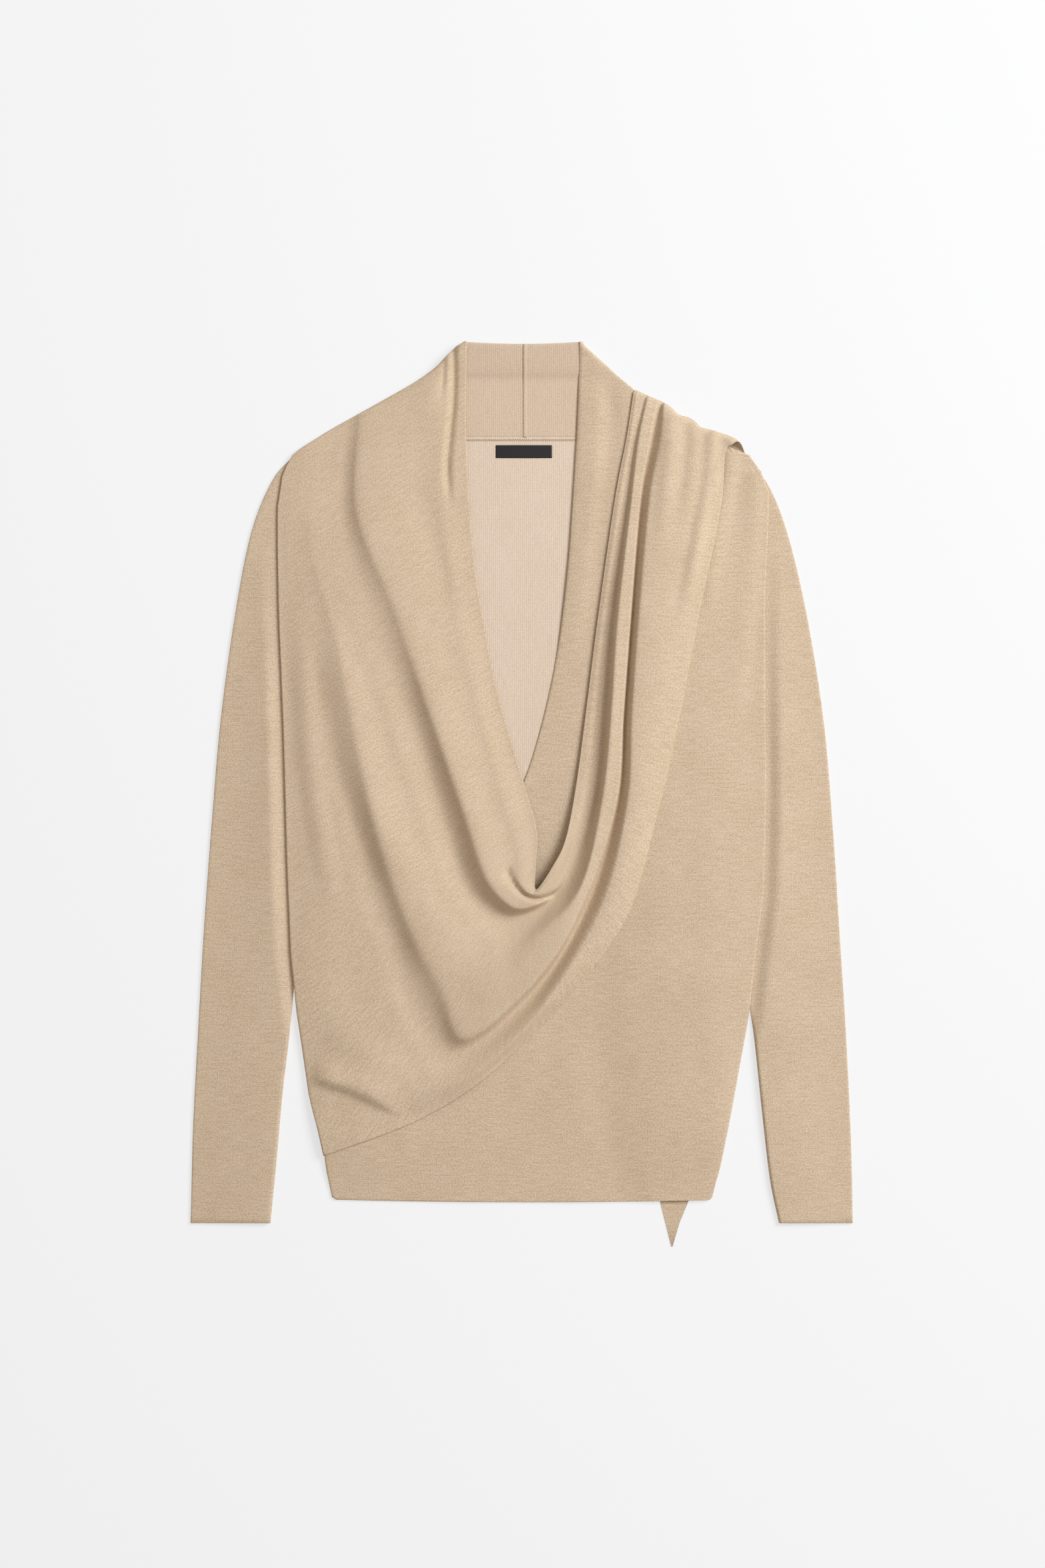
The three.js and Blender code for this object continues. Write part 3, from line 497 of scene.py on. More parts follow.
# %% [markdown]
# ## Jersey
#
# The cloth is a fine single jersey in wool and viscose, knitted by machine. Its outer face shows
# columns of small Vs, called wales, and its inner face shows rows of small arcs. The real wales are
# 1.05 mm apart. The picture can't show that, so they are drawn 1.6 mm apart here. Besides the
# stitches, the eye sees the grain of the woollen yarn, faint streaks where the yarn is thicker or
# thinner, and a soft sheen at grazing angles from the loose fibres.

# %% Jersey
WALE, COURSE = 1.6, 1.6      # millimetres between wales and between rows of stitches
GRAIN, STREAK, MOTTLE = 1.3, (12, 1.7), 38   # millimetres: size of the marks that the yarn leaves
# How much each mark shows in the colour. The stitches' share is painted shade in their grooves.
STITCH_SHADE_SHOWS, GRAIN_SHOWS, STREAK_SHOWS, MOTTLE_SHOWS = 0.05, 0.9, 0.3, 0.12
DARK_AT, LIGHT_AT = 0.44, 0.88               # sums of the four that give the dark and the light colour
STITCH_DEEP = 0.0003                         # metres


def jersey(name, light, dark, outer):
    """outer is True for the face with Vs. Inside, the ribs between the wales show more than the rows."""
    lean_by, row_by, rib_by, ribs = (1.0, 0.5, -0.4, 2) if outer else (0.25, 0.25, -0.75, 1)
    material = bpy.data.materials.new(name)
    material.use_nodes = True
    tree = material.node_tree
    shader = tree.nodes["Principled BSDF"]
    place = add(tree, "ShaderNodeUVMap", {"uv_map": "knit"})
    split = add(tree, "ShaderNodeSeparateXYZ", None, {0: place.outputs[0]})

    def math_node(operation, *values):
        return add(tree, "ShaderNodeMath", {"operation": operation}, dict(enumerate(values))).outputs[0]

    wale = math_node("MULTIPLY", split.outputs[0], MAP_UNIT / WALE)
    course = math_node("MULTIPLY", split.outputs[1], MAP_UNIT / COURSE)
    part = math_node("FRACT", wale)
    side = math_node("ABSOLUTE", math_node("SUBTRACT", part, 0.5))
    lean = math_node("MULTIPLY_ADD", side, lean_by, course)
    row = math_node("SINE", math_node("MULTIPLY", lean, 2 * math.pi))
    rib = math_node("COSINE", math_node("MULTIPLY", part, 2 * math.pi * ribs))
    stitch = math_node("MULTIPLY_ADD", row, row_by, math_node("MULTIPLY", rib, rib_by))

    def yarn_noise(wide, high, detail):
        scale = (MAP_UNIT / wide, MAP_UNIT / high, 1)
        stretched = add(tree, "ShaderNodeMapping", None, {0: place.outputs[0], 3: scale})
        return add(tree, "ShaderNodeTexNoise", {"noise_dimensions": "2D"},
                   {"Vector": stretched.outputs[0], "Scale": 1.0, "Detail": detail}).outputs[0]

    long, short = STREAK
    grain = yarn_noise(GRAIN, GRAIN, 2.0)
    streak = yarn_noise(long, short, 1.0) if outer else yarn_noise(short, long, 1.0)
    mottle = yarn_noise(MOTTLE, MOTTLE, 1.0)
    # The stitch pattern also darkens the colour a little in its grooves: painted shade, on top of the
    # yarn's own marks.
    tone = math_node("MULTIPLY_ADD", stitch, STITCH_SHADE_SHOWS, math_node("MULTIPLY", grain, GRAIN_SHOWS))
    tone = math_node("MULTIPLY_ADD", streak, STREAK_SHOWS, tone)
    tone = math_node("MULTIPLY_ADD", mottle, MOTTLE_SHOWS, tone)
    share = add(tree, "ShaderNodeMapRange", None, {0: tone, 1: DARK_AT, 2: LIGHT_AT})
    mixed = add(tree, "ShaderNodeMix", {"data_type": "RGBA"},
                {0: share.outputs[0], 6: linear(dark), 7: linear(light)})
    bump = add(tree, "ShaderNodeBump", None,
               {"Strength": 0.25, "Distance": STITCH_DEEP, "Height": stitch})
    tree.links.new(mixed.outputs[2], shader.inputs["Base Color"])
    tree.links.new(bump.outputs[0], shader.inputs["Normal"])
    shader.inputs["Roughness"].default_value = 0.88
    shader.inputs["Specular IOR Level"].default_value = 0.25
    shader.inputs["Sheen Weight"].default_value = 0.08
    shader.inputs["Sheen Roughness"].default_value = 0.6
    shader.inputs["Sheen Tint"].default_value = linear("#F2E8DA")
    print(name, "nodes", len(tree.nodes))
    return material


# One layer of this thin cloth on the white table looks paler than two, because light comes back
# through it. So the back, which shows its inner face, is paler than the doubled collar.
jersey_face = jersey("wool and viscose jersey, outer face", "#DBCAB4", "#BFAA90", True)
jersey_inside = jersey("wool and viscose jersey, inner face, one layer", "#E3D4C5", "#D5C4B2", False)
jersey_double = jersey("wool and viscose jersey, inner face, doubled", "#D9C6B3", "#CAB6A2", False)

# %% [markdown]
# ## Back
#
# The back is one flat piece. Only a wedge of its inside shows, in the open neck. Its grid lies
# between the shoulder and neck line, the hem and the two sides.

# %% Back
BACK_TOP = [(-188.5, 279), (-134, 310.5), (-84, 338), (-66, 314), (-52, NECK_SEAM_Y),
            (0, NECK_SEAM_Y), (53, NECK_SEAM_Y), (68, 314), (84, 333), (100, 320), (135, 301),
            (166, 285), (187, 279)]
BACK_INSET = 1.6             # room at each side for the fronts, whose edges roll down to the back
HEM_DIP, HEM_BAND = 1.8, 40  # how far the hem hangs in its middle, and how far up the cloth follows
CORNER_ROUND = 3.2           # radius of the corners of the hem


def straight_line(points, s):
    place = np.arange(len(points))
    return np.stack([np.interp(s, place, column(points, k)) for k in (0, 1)], axis=-1)


def curved_line(points, s):
    return np.stack([spline(column(points, k), s) for k in (0, 1)], axis=-1)


def raise_grid(flat, height):
    return np.dstack([flat, height(flat[..., 0], flat[..., 1])])


def shape_hem(flat):
    """Lets the middle of the hem hang a little and rounds its two corners."""
    x, y = flat[..., 0], flat[..., 1]
    hang = 1 - (x / RIGHT_SIDE[-1][0]) ** 2
    above = np.clip((y - HEM_Y) / CORNER_ROUND, 0, 1)
    inset = CORNER_ROUND * (1 - np.sqrt(1 - (1 - above) ** 2))
    flat[..., 0] = x * (1 + inset / RIGHT_SIDE[-1][0])
    flat[..., 1] = y - HEM_DIP * hang * slope(y, HEM_Y + HEM_BAND, -HEM_BAND)
    return flat


def back_grid(rows=150, cols=144):
    v = np.linspace(0, 1, rows + 1)[:, None, None]
    top = straight_line(BACK_TOP, np.linspace(0, len(BACK_TOP) - 1, cols + 1))
    tips = np.array([BACK_TOP[0], BACK_TOP[-1]], float)
    u = ((top[:, 0] - tips[0, 0]) / (tips[1, 0] - tips[0, 0]))[None, :, None]
    s = v[:, 0, 0] * (len(RIGHT_SIDE) - 1)
    inset = np.array([BACK_INSET, 0])
    right = curved_line(RIGHT_SIDE, s)[:, None] + inset
    left = curved_line(LEFT_SIDE, s)[:, None] - inset
    flat = (top[None] - mix(tips[0], tips[1], u)) * (1 - v) + mix(right, left, u)
    return raise_grid(shape_hem(flat), back_height)


middle = back_grid()
back = shell("back_panel", middle, middle[..., :2], jersey_inside)
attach(back, "root")
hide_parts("back")

# %% [markdown]
# ## Front under the swag
#
# The left front is as wide as the body. Its finished edge runs from the neck down across the body to
# the far side, and its hem is straight.

# %% Front under the swag
UNDER_SHOULDER = [(47.6, 372.5), (53, 366.5), (60, 360.3), (72, 349.5), (84, 339.5), (90, 334.5),
                  (100, 322), (135, 303), (166, 288), (176, 283), (186, 279)]
LEFT_OUT, LEFT_SHOULDER_OUT = np.array([1, 0, 0]), np.array([0.5, 0.87, 0])   # away from the cloth


def under_grid(rows=200, cols=150):
    s = np.linspace(0, len(UNDER) - 1, rows + 1)
    u = np.linspace(0, 1, cols + 1)[None, :, None]
    edge, side = (curved_line(column(UNDER, k), s)[:, None] for k in (0, 1))
    chord = mix(np.array(UNDER[0][0], float), np.array(UNDER[0][1], float), u)
    shoulder = straight_line(UNDER_SHOULDER, u[0, :, 0] * (len(UNDER_SHOULDER) - 1))[None]
    side[..., 0] = np.interp(side[..., 1], column(LEFT_SIDE, 1)[::-1], column(LEFT_SIDE, 0)[::-1])
    flat = mix(edge, side, u) + (1 - smooth(s))[:, None, None] * (shoulder - chord)
    rolled = roll_edge(raise_grid(shape_hem(flat), under_height), SIDE_ROLL, LEFT_OUT)
    return roll_top(rolled, LEFT_SHOULDER_OUT)


middle = under_grid()
left_front = shell("left_front", middle, middle[..., :2], jersey_face)
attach(left_front, "root")
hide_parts("front_left")

# %% [markdown]
# ## Swag
#
# The right front is one long panel. Nine guide lines run along it, from its finished edge to its side
# and hem: crests, and the valley beside each. Between two guides the cloth eases from one height to
# the next, and a light smoothing rounds each crest and valley. Where the panel ends at the side of the
# body, its edge rolls down to the back, as cloth does at a side seam. Over the left shoulder it turns
# under and lies on the table as the tail, and its hem stands up there in a small arch.

# %% Sizes of the swag: a row for each section, from the finished edge to the side or hem
# Columns: finished edge, rim or hollow beside it, first crest, first valley, second crest's inner and
# outer side, second valley, third crest, side or hem
SWAG = [
    [(-46, 373), (-70, 352), (-133, 313.3), (-146, 306.3), (-157, 300.3), (-167, 294.7),
     (-176, 289), (-183, 284), (-190, 278.5)],
    [(-46, 285), (-73, 269), (-135, 233.4), (-150, 225), (-163, 217.6), (-174.5, 211), (-184, 205.4),
     (-191.5, 201), (-202, 195)],
    [(-39, 188), (-62, 175), (-104, 152), (-122, 142.3), (-137, 134.2), (-152.5, 125.8),
     (-167, 117.5), (-177, 112), (-199, 100)],
    [(-22, 92), (-42, 82), (-75, 65.4), (-92, 57), (-108, 49), (-135, 35.3), (-152, 26.8),
     (-163, 21.2), (-195.5, 5)],
    [(0.5, 12), (-20, 1.2), (-48, -15), (-64, -23.8), (-82, -33.6), (-114, -50.5),
     (-131, -59.6), (-143, -66.4), (-192.5, -95)],
    [(12, -30), (-6, -45), (-31, -66.3), (-43.7, -77), (-58, -89), (-90, -116),
     (-107, -130.5), (-118, -139.5), (-183, -195)],
    [(11, -60), (-2.5, -73), (-12.5, -90), (-17.5, -99), (-33, -119), (-66, -162),
     (-86, -186), (-94, -202), (-163.5, -297)],
    [(11.5, -78), (10.2, -81.5), (4.5, -93), (2, -99.5), (-12, -137), (-45, -200), (-51, -213),
     (-60, -236), (-75, -262)],
    [(25.5, -58.5), (26.6, -63.5), (25, -80.5), (24, -88), (20.4, -110), (17, -146), (14.2, -158),
     (6, -187), (-2, -207)],
    [(36, -36), (38, -40), (39.6, -50.5), (42, -60), (49.4, -72.4), (53.2, -82), (56, -87.4),
     (62.8, -98), (79, -113)],
    [(44.6, 8), (49, 6), (56.5, 3), (62.5, 0.8), (65.7, -0.3), (77.6, -5.1), (80, -6),
     (86.6, -8.6), (110, -18)],
    [(53.2, 72), (57, 71.4), (62, 70.7), (69, 69.5), (72.8, 68.9), (83, 67.1), (84.9, 66.8),
     (90.6, 65.8), (128, 60)],
    [(62.5, 145), (65.8, 145), (70, 145), (75.3, 145), (78, 145), (88.8, 145), (90.6, 145),
     (96.2, 145), (144, 145)],
    [(76.5, 243), (80, 242.5), (83.6, 242.2), (87, 242), (89.6, 241.8), (96.8, 241.5),
     (98.8, 241.4), (105.2, 241), (163, 238)],
    [(86, 293), (88.6, 292), (91, 291.6), (93.2, 291.3), (95.6, 291), (105, 290), (107.4, 289.8),
     (114.4, 289.3), (166.5, 281.5)],
    [(91.8, 331), (94.6, 329.6), (97.6, 328.2), (100.8, 326.6), (103, 325.6), (110.6, 323),
     (114.4, 321.5), (117, 320.2), (173, 289.6)],
]
# Rise of each of these points above the layers under the swag, two sections to a line
SWAG_RISE = [
    (2.0, 4.6, 4.4, 1.6, 0.8, 0.6, 0.4, 0.3, 0), (2.0, 3.8, 7.6, 1.6, 1.4, 1.2, 0.6, 0.5, 0),
    (0.4, 3.2, 6.4, 1.2, 2.2, 3.0, 0.8, 0.8, 0), (0.3, 4.2, 10.0, 0.6, 2.8, 5.6, 0.6, 1.0, 0),
    (0.3, 5.6, 12.0, 0.5, 3.6, 7.6, 0.5, 1.2, 0), (2.4, 7.0, 12.6, 0.5, 4.6, 9.2, 0.5, 1.4, 0.3),
    (6.0, 10.0, 12.0, 0.5, 6.4, 10.2, 0.5, 1.8, 0.6), (9.5, 11.5, 10.5, 0.6, 9.4, 9.6, 0.3, 3.0, 0.5),
    (10.0, 9.8, 7.0, 0.3, 10.8, 10.4, 0.2, 8.4, 0.5), (7.6, 6.8, 2.4, 0.2, 12.2, 9.2, 0.2, 10.2, 0.4),
    (3.2, 3.2, 1.4, 0.3, 11.8, 8.6, 0.2, 10.2, 0.2), (1.8, 2.2, 1.0, 0.3, 11.0, 8.2, 0.2, 10.2, 0.6),
    (1.2, 1.8, 0.9, 0.3, 9.6, 7.8, 0.2, 9.8, 1.4), (0.8, 1.6, 0.9, 0.5, 6.6, 6.0, 0.2, 9.0, 2.4),
    (0.7, 1.5, 1.0, 0.8, 4.6, 4.2, 0.2, 7.6, 3.4), (0.6, 1.4, 1.0, 0.8, 3.0, 2.2, 0.8, 5.0, 4.5),
]
HEM_CORNER = 6               # section where the outer edge turns from the side to the hem

# %% Lines of the shoulders that the swag starts and ends on
RIGHT_SHOULDER = [(-190, 278.5), (-182, 284.7), (-174, 289.8), (-158, 299.7), (-134, 312.7),
                  (-110, 326), (-94, 335), (-86, 339.6), (-78, 345.2), (-70, 351.3), (-62, 360),
                  (-54, 367.8), (-46, 372.5)]
SWAG_SHOULDER = [(91.8, 331), (103, 325.8), (113.5, 321.5), (122, 316), (125, 312), (128.5, 309.5),
                 (135, 308.3), (141, 305.2), (145, 299.8), (155.5, 297.4), (165, 294.2),
                 (170, 292.2), (173, 289.6)]

# %% Folds of the swag: rise, reach to each side of the line, fading ends, and the line
SWAG_FOLDS = [
    (3.0, 26, 34, FADE, 0.45, [(-92, -10), (-78, -85), (-52, -130), (-26, -146), (-4, -146)]),
    (2.4, 26, 26, 0.5, FADE, [(-165, -130), (-146, -195), (-104, -236), (-50, -240), (0, -210)]),
    (3.2, 32, 20, FADE, FADE, [(-158, 150), (-150, 90), (-136, 20), (-112, -40), (-92, -84)]),
    (1.6, 14, 14, FADE, FADE, [(-184, 150), (-178, 60), (-168, -20), (-152, -110)]),
    (-12.0, 4.2, 3.2, KEEP, 0.05, [(-56.4, 368), (-56.8, 345), (-57.6, 320), (-60.4, 292), (-62.6, 266),
                                  (-60, 251)]),
    (-3.0, 4, 3, KEEP, FADE, [(-64.6, 356), (-65, 345), (-66.4, 334)]),
    (2.0, 18, 5, FADE, FADE, [(-82, 344), (-82.5, 330), (-80, 308)]),
    (2.4, 15, 11, KEEP, 0.5, [(124, 314), (122.5, 291), (119.4, 258), (116.5, 226), (113, 180)]),
    (2.2, 16, 11, KEEP, 0.5, [(142, 305), (142.5, 290), (141, 268), (136, 235), (128, 185)]),
    (2.8, 9, 9, KEEP, FADE, [(157, 298), (156, 275), (154, 255), (148, 225), (139, 180), (126, 130)]),
    (1.4, 6, 2, FADE, FADE, [(161, 277), (159, 262), (158.5, 250), (160, 238)]),
    (5.4, 26, 2.4, 0.3, 0.4, [(-178, -233.5), (-165, -237), (-148, -241.5), (-130, -249), (-112, -258.5),
                              (-96, -268)]),
    (-8.5, 2.2, 3.8, 0.12, 0.35, [(-14, -57.5), (-11.5, -65), (-6.6, -73.5), (0, -80.5), (8, -84.8),
                                 (17, -85), (27, -80.6), (37, -73), (45, -64)]),
    (-1.3, 12, 14, 0.25, 0.35, [(-91, 265), (-77, 224), (-68, 183), (-54, 144)]),
]

# %% Swag
SWAG_STEPS = (24, 14, 16, 12, 14, 13, 11, 50)   # columns from each guide to the next
# How the height changes: evenly, sharply at the start, sharply at the end, a little more at the end
SMOOTH, DROP, CLIMB, ROUND = range(4)
DOWN_EASE = (SMOOTH, SMOOTH, DROP, SMOOTH, SMOOTH, DROP, SMOOTH, SMOOTH)
UP_EASE = (SMOOTH, SMOOTH, SMOOTH, CLIMB, SMOOTH, DROP, SMOOTH, ROUND)
LOOP_SECTION = 7                  # section at the bottom of the loop, where the panel turns up again
SWAG_ROWS = (10, 9, 9, 10, 14, 44, 36, 26, 22, 14, 9, 9, 9, 9, 9)   # rows from each section to the next
ROUNDING_PASSES = 3
LOOP_TURN = (LOOP_SECTION + 0.5, 1.2)   # start and length of the change from down to up, in sections
SHOULDER_BEND = 0.7                     # length over which the rows bend to the shoulder, in sections
SIDE_OUT, HEM_OUT = np.array([-1, 0, 0]), np.array([0.8, -0.6, 0])   # away from the cloth
RIGHT_SHOULDER_OUT = np.array([-0.5, 0.87, 0])

# The turn over the left shoulder: how far out each row is, and its share of the shoulder's height
TURN = [(0.8, 0.96), (1.9, 0.86), (2.6, 0.74), (2.9, 0.6), (3.0, 0.46), (2.9, 0.32), (2.6, 0.2),
        (2, 0.1), (1, 0.03), (0, 0)]
# The arch of the hem there: how far each row moves across and up
ARCH = [(1.2, 0.9), (3, 1.8), (4.8, 1.6), (6.3, 0.6), (7.4, -1), (8.3, -2.8), (9, -4.4), (9.5, -5.8),
        (10, -7), (10.3, -8)]
ARCH_FROM, ARCH_WIDE = 156, 17
SHOULDER_OUTWARD = np.array([0.48, 0.88, 0])
TAIL_FROM, TAIL_ROWS = 255, 34


def ease(kind, t):
    """Share of the way up or down, in the order of the four names."""
    return (smooth(t), 1 - (1 - t) ** 2, t ** 2, t ** 1.8)[kind]


def swag_front():
    last = len(SWAG) - 1
    v = np.append(np.concatenate([k + np.arange(n) / n for k, n in enumerate(SWAG_ROWS)]), last)
    guides, rises = [], []
    for k in range(len(SWAG[0])):
        line = column(SWAG, k)
        if k < len(SWAG[0]) - 1:
            guides.append(curved_line(line, v))
        else:
            side = curved_line(line[:HEM_CORNER + 1], np.minimum(v, HEM_CORNER))
            side[:, 0] = np.interp(side[:, 1], column(RIGHT_SIDE, 1)[::-1], column(RIGHT_SIDE, 0)[::-1])
            hem = curved_line(line[HEM_CORNER:], np.maximum(v - HEM_CORNER, 0))
            guides.append(np.where(v[:, None] <= HEM_CORNER, side, hem))
        rises.append(spline(column(SWAG_RISE, k), v))
    flat, rise = [guides[0]], [rises[0]]
    up = slope(v, *LOOP_TURN)
    for k, steps in enumerate(SWAG_STEPS):
        for i in range(1, steps + 1):
            t = i / steps
            flat.append(mix(guides[k], guides[k + 1], t))
            eased = mix(ease(DOWN_EASE[k], t), ease(UP_EASE[k], t), up)
            rise.append(mix(rises[k], rises[k + 1], eased))
    flat = np.stack(flat, axis=1)
    follow(flat, 0, RIGHT_SHOULDER, 1 - smooth(v))
    follow(flat, -1, SWAG_SHOULDER, 1 - slope(v, last, -SHOULDER_BEND))
    x, y = flat[..., 0], flat[..., 1]
    z = swag_base(x, y) + np.maximum(0, np.stack(rise, axis=1) + fold_rise(SWAG_FOLDS, x, y))
    front = np.dstack([flat, z])
    for _ in range(ROUNDING_PASSES):
        front[:, 1:-1] = (front[:, :-2] + 2 * front[:, 1:-1] + front[:, 2:]) / 4
    share = mix(HEM_ROLL, SIDE_ROLL, 1 - slope(v, HEM_CORNER - 1, 1))
    outward = mix(SIDE_OUT, HEM_OUT, slope(v, HEM_CORNER - 0.5, 0.5)[:, None])
    return roll_top(roll_edge(front, share, outward), RIGHT_SHOULDER_OUT)


def swag_tail(shoulder):
    rows = []
    at_hem = slope(shoulder[:, :1], ARCH_FROM, ARCH_WIDE)
    for (out, share), (right, up) in zip(TURN, ARCH):
        turned = shoulder + mix(SHOULDER_OUTWARD * out, np.array([right, up, 0]), at_hem)
        turned[:, 2] = mix(FLOOR, shoulder[:, 2], share)
        rows.append(turned[None])
    reach = ((shoulder[:, 0] - shoulder[0, 0]) / (shoulder[-1, 0] - shoulder[0, 0]))[None]
    y = np.linspace(TAIL_FROM, TAIL[-1][0], TAIL_ROWS)[:, None]
    x = mix(at_height(TAIL, 1, y), at_height(TAIL, 2, y), reach)
    rows.append(np.dstack([x, np.broadcast_to(y, x.shape), np.full(x.shape, FLOOR)]))
    return np.concatenate(rows)


front = swag_front()
middle = np.concatenate([front, swag_tail(front[-1])])
swag = shell("right_front_swag", middle, length_map(middle), jersey_face)
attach(swag, "root")
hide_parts("front_right")

# %% [markdown]
# ## Sleeves
#
# Each sleeve is a tube pressed flat. Its upper end lies under the side of the body, and its top puffs
# up a little where nothing lies on it.

# %% Sleeves
OVER_POINTS, BELOW_POINTS, TURN_POINTS = 41, 29, 7   # points of a ring: on top, below, and at each end
SLEEVE_SHOWS = (3, 12)       # start and length of the slope up, outwards from the side of the body
CREST_FROM = 0.9             # share of the width, from the outer fold, over which the puff grows


def sleeve_grid(rings, side, rows=150):
    s = np.linspace(0, len(rings) - 1, rows + 1)
    out_x, out_y, in_x, in_y, air = (spline(column(rings, k), s)[:, None] for k in range(5))
    width = np.hypot(out_x - in_x, out_y - in_y)
    radius = SLEEVE_HOLLOW / 2
    turn = np.linspace(0, np.pi, TURN_POINTS + 2)[1:-1]
    over = np.linspace(0, 1, OVER_POINTS)
    below = np.linspace(1, 0, BELOW_POINTS)
    across = np.hstack([mix(radius, width - radius, over), width - radius + radius * np.sin(turn),
                        mix(radius, width - radius, below), radius - radius * np.sin(turn) + 0 * width])
    z = np.concatenate([0 * over + SLEEVE_HOLLOW, radius * (1 + np.cos(turn)), 0 * below,
                        radius * (1 - np.cos(turn))])
    inward = np.concatenate([1 - over, 0 * turn, 0 * below, 0 * turn])
    x = mix(in_x, out_x, across / width)
    y = mix(in_y, out_y, across / width)
    body_edge = np.abs(np.interp(y, column(side, 1)[::-1], column(side, 0)[::-1]))
    shown = slope(np.abs(x) - body_edge, *SLEEVE_SHOWS) * smooth(inward / CREST_FROM)
    return np.dstack([x, y, FLOOR + z + SLEEVE_PUFF * air * shown])


sleeves = []
for name, node, rings, side in (("right_sleeve", "sleeve_right", RIGHT_SLEEVE, RIGHT_SIDE),
                                ("left_sleeve", "sleeve_left", LEFT_SLEEVE, LEFT_SIDE)):
    middle = sleeve_grid(rings, side)
    sleeve = shell(name, middle, middle[..., :2], jersey_face, tube=True)
    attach(sleeve, "root")
    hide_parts(node)
    sleeves.append(sleeve)

# %% [markdown]
# ## Collar
#
# The collar is the only part that stands up: it lies flat above the neck seam, turns up at a crease
# and rolls over at the top. Its two halves meet at the centre back seam, and the seam's allowance is
# pressed to one side, where it shows as a narrow raised strip.

# %% Collar
# Its profile from the neck seam over the roll to the hidden edge: place up the garment, and height
COLLAR_PROFILE = [(NECK_SEAM_Y + SEAM_SEWN, 0.6), (308, 0.6), (322, 0.6), (337, 0.6), (343, 1.0),
                  (348, 2.6), (354, 4.0), (365, 5.9), (371.6, 6.9), (372.8, 6), (372.8, 4.2),
                  (371, 2.2), (367, 0.9), (361, 0.6), (355, 0.6)]
COLLAR_DIP, DIP_SLOPE = 1.8, 20   # how much lower its top is at its middle, and how far up that takes
ALLOWANCE = (0.4, 3.2)       # millimetres from the seam to the strip's two edges
ALLOWANCE_RISE, ALLOWANCE_SLOPE = 0.7, 0.4
SEAM_SINK, SEAM_REACH = 0.5, 0.9
SINK_FROM = (0.55, 0.1)      # start and length of the slope, in height, above which the seam sinks
FINE_BAND = 5                # millimetres beside the seam where columns are close together


def collar_grid(from_x, to_x, rows=110, coarse=24, fine=24):
    s = np.linspace(0, len(COLLAR_PROFILE) - 1, rows)
    y, z = (spline(column(COLLAR_PROFILE, k), s)[:, None] for k in (0, 1))
    step = np.linspace(0, FINE_BAND, fine, endpoint=False)
    seam, end = (to_x, from_x) if abs(to_x - CENTRE_BACK_X) < 1 else (from_x, to_x)
    way = 1 if end > seam else -1
    x = np.concatenate([seam + way * step, np.linspace(seam + way * FINE_BAND, end, coarse)])
    x = np.sort(x)[None]
    off = x - CENTRE_BACK_X
    near, far = (slope(off, edge, ALLOWANCE_SLOPE) for edge in ALLOWANCE)
    sunk = 1 - smooth(np.abs(off) / SEAM_REACH)
    half_wide = (COLLAR_END_LEFT - COLLAR_END_RIGHT) / 2
    centre = (COLLAR_END_LEFT + COLLAR_END_RIGHT) / 2
    dip = COLLAR_DIP * (1 - ((x - centre) / half_wide) ** 2) * slope(y, COLLAR_CREASE_Y, DIP_SLOPE)
    bumps = ALLOWANCE_RISE * near * (1 - far) - SEAM_SINK * sunk * slope(z, *SINK_FROM)
    low = (CLOTH - WALL) / 2
    return np.dstack([x + 0 * y, y - dip, np.maximum(z + low + bumps, FLOOR)])


collar = []
for name, node, ends in (
        ("collar_right_half", "collar_right", (COLLAR_END_RIGHT, CENTRE_BACK_X - SEAM_SEWN / 2)),
        ("collar_left_half", "collar_left", (CENTRE_BACK_X + SEAM_SEWN / 2, COLLAR_END_LEFT))):
    middle = collar_grid(*ends)
    half = shell(name, middle, middle[..., :2], jersey_double)
    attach(half, "root")
    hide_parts(node)
    collar.append(half)

# %% [markdown]
# ## Neck label and coverstitch
#
# The label is a bare band of black woven satin, sewn flat to the back. Along the neck seam runs a
# coverstitch: a straight thread, and below it a thread that zigzags between the needle holes.

# %% Neck label and coverstitch
LABEL_X, LABEL_Y = (-21.6, 24.6), (277.8, 288.1)
LABEL_THICK, LABEL_CROWN = 0.45, 0.25   # its thickness, and how much higher its middle lies
LABEL_CLEAR = 0.05                      # room between the label and the back
LABEL_POINTS = (48, 14)                 # points across and down
SATIN_FLOATS = (60, 400)                # in 100 mm: each is drawn 1.7 mm long, and 0.25 mm from the next
STITCH_Y, ZIGZAG_Y = 293.7, (291.6, 293.2)
STITCH_X = (-48, 49)
STITCH_PITCH = 1.5           # millimetres
THREAD = 0.2                 # radius in millimetres
THREAD_RING, THREAD_WALL = THREAD * 0.6, THREAD * 0.8   # radius of the tube's middle, and its wall
THREAD_SIDES = 8


def satin():
    material = bpy.data.materials.new("black woven satin")
    material.use_nodes = True
    tree = material.node_tree
    shader = tree.nodes["Principled BSDF"]
    place = add(tree, "ShaderNodeUVMap", {"uv_map": "knit"})
    floats = add(tree, "ShaderNodeMapping", None, {0: place.outputs[0], 3: (*SATIN_FLOATS, 1)})
    noise = add(tree, "ShaderNodeTexNoise", {"noise_dimensions": "2D"},
                {"Vector": floats.outputs[0], "Scale": 1.0, "Detail": 1.0})
    mixed = add(tree, "ShaderNodeMix", {"data_type": "RGBA"},
                {0: noise.outputs[0], 6: linear("#161518"), 7: linear("#2A292D")})
    tree.links.new(mixed.outputs[2], shader.inputs["Base Color"])
    shader.inputs["Roughness"].default_value = 0.45
    shader.inputs["Specular IOR Level"].default_value = 0.4
    return material


def plain_thread(name, code):
    material = bpy.data.materials.new(name)
    material.use_nodes = True
    shader = material.node_tree.nodes["Principled BSDF"]
    shader.inputs["Base Color"].default_value = linear(code)
    shader.inputs["Roughness"].default_value = 0.7
    return material


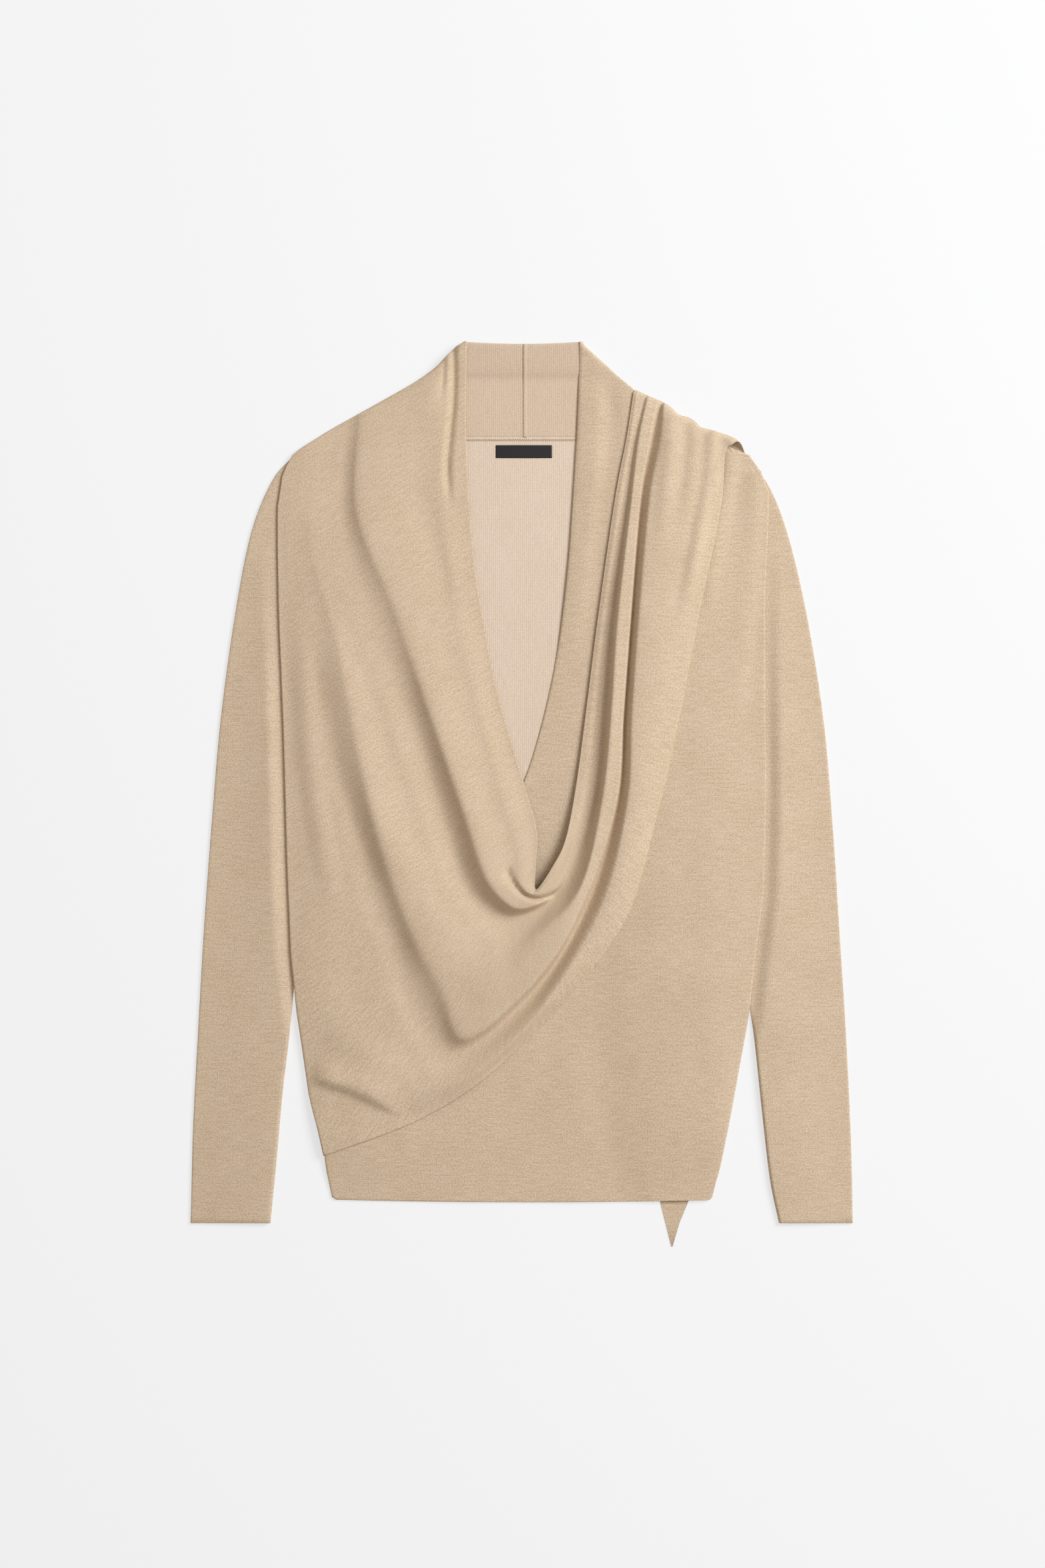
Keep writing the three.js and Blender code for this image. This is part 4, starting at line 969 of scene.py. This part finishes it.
def thread_tube(name, line, material):
    """A round thread along a line of points."""
    line = np.array(line, float)
    ahead = unit(np.gradient(line, axis=0))
    side = unit(np.cross(ahead, [0, 0, 1]))
    up = np.cross(side, ahead)
    turn = np.linspace(0, 2 * math.pi, THREAD_SIDES, endpoint=False)
    ring = side[:, None] * np.cos(turn)[None, :, None] + up[:, None] * np.sin(turn)[None, :, None]
    no_map = np.zeros((len(line), THREAD_SIDES, 2))
    return shell(name, line[:, None] + THREAD_RING * ring, no_map, material, True, THREAD_WALL)


across = np.linspace(*LABEL_X, LABEL_POINTS[0])
down = np.linspace(*LABEL_Y[::-1], LABEL_POINTS[1])[:, None]
from_middle = (2 * across - sum(LABEL_X)) / (LABEL_X[1] - LABEL_X[0])
crown = LABEL_CROWN * (1 - from_middle ** 2)[None]
label_z = FLOOR + CLOTH / 2 + LABEL_THICK / 2 + LABEL_CLEAR
middle = np.dstack([across + 0 * down, down + 0 * across[None], label_z + crown + 0 * down])
label = shell("neck_label_band", middle, middle[..., :2], satin(), wall=LABEL_THICK)
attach(label, "root")
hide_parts("neck_label")

stitch_z = FLOOR + CLOTH / 2 + THREAD_RING
straight = [(x, STITCH_Y, stitch_z) for x in np.arange(*STITCH_X, 1.0)]
needle = plain_thread("spun polyester thread, pale", "#E6D6C0")
looper = plain_thread("spun polyester thread, darker in its own shadow", "#B89C7E")
zigzag = [(x, ZIGZAG_Y[i % 2], stitch_z)
          for i, x in enumerate(np.arange(*STITCH_X, STITCH_PITCH / 2))]
stitches = [thread_tube("neck_seam_thread", straight, needle),
            thread_tube("neck_zigzag_thread", zigzag, looper)]
for stitch in stitches:
    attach(stitch, "root")

# %% [markdown]
# ## How each piece was cut
#
# The sizes are those of the flat cloth, width and length in metres, before it was sewn and laid out.

# %% Flat sizes and areas
def cut(piece, flat, area):
    print(piece.name, "flat in metres:", flat, "area in m2:", area)


cut(back, (0.404, 0.672), 0.242)
cut(left_front, (0.367, 0.707), 0.152)
cut(swag, (0.400, 1.600), 0.208)
for sleeve in sleeves:
    cut(sleeve, (0.190, 0.640), 0.081)
for half in collar:
    cut(half, (0.050, 0.105), 0.005)
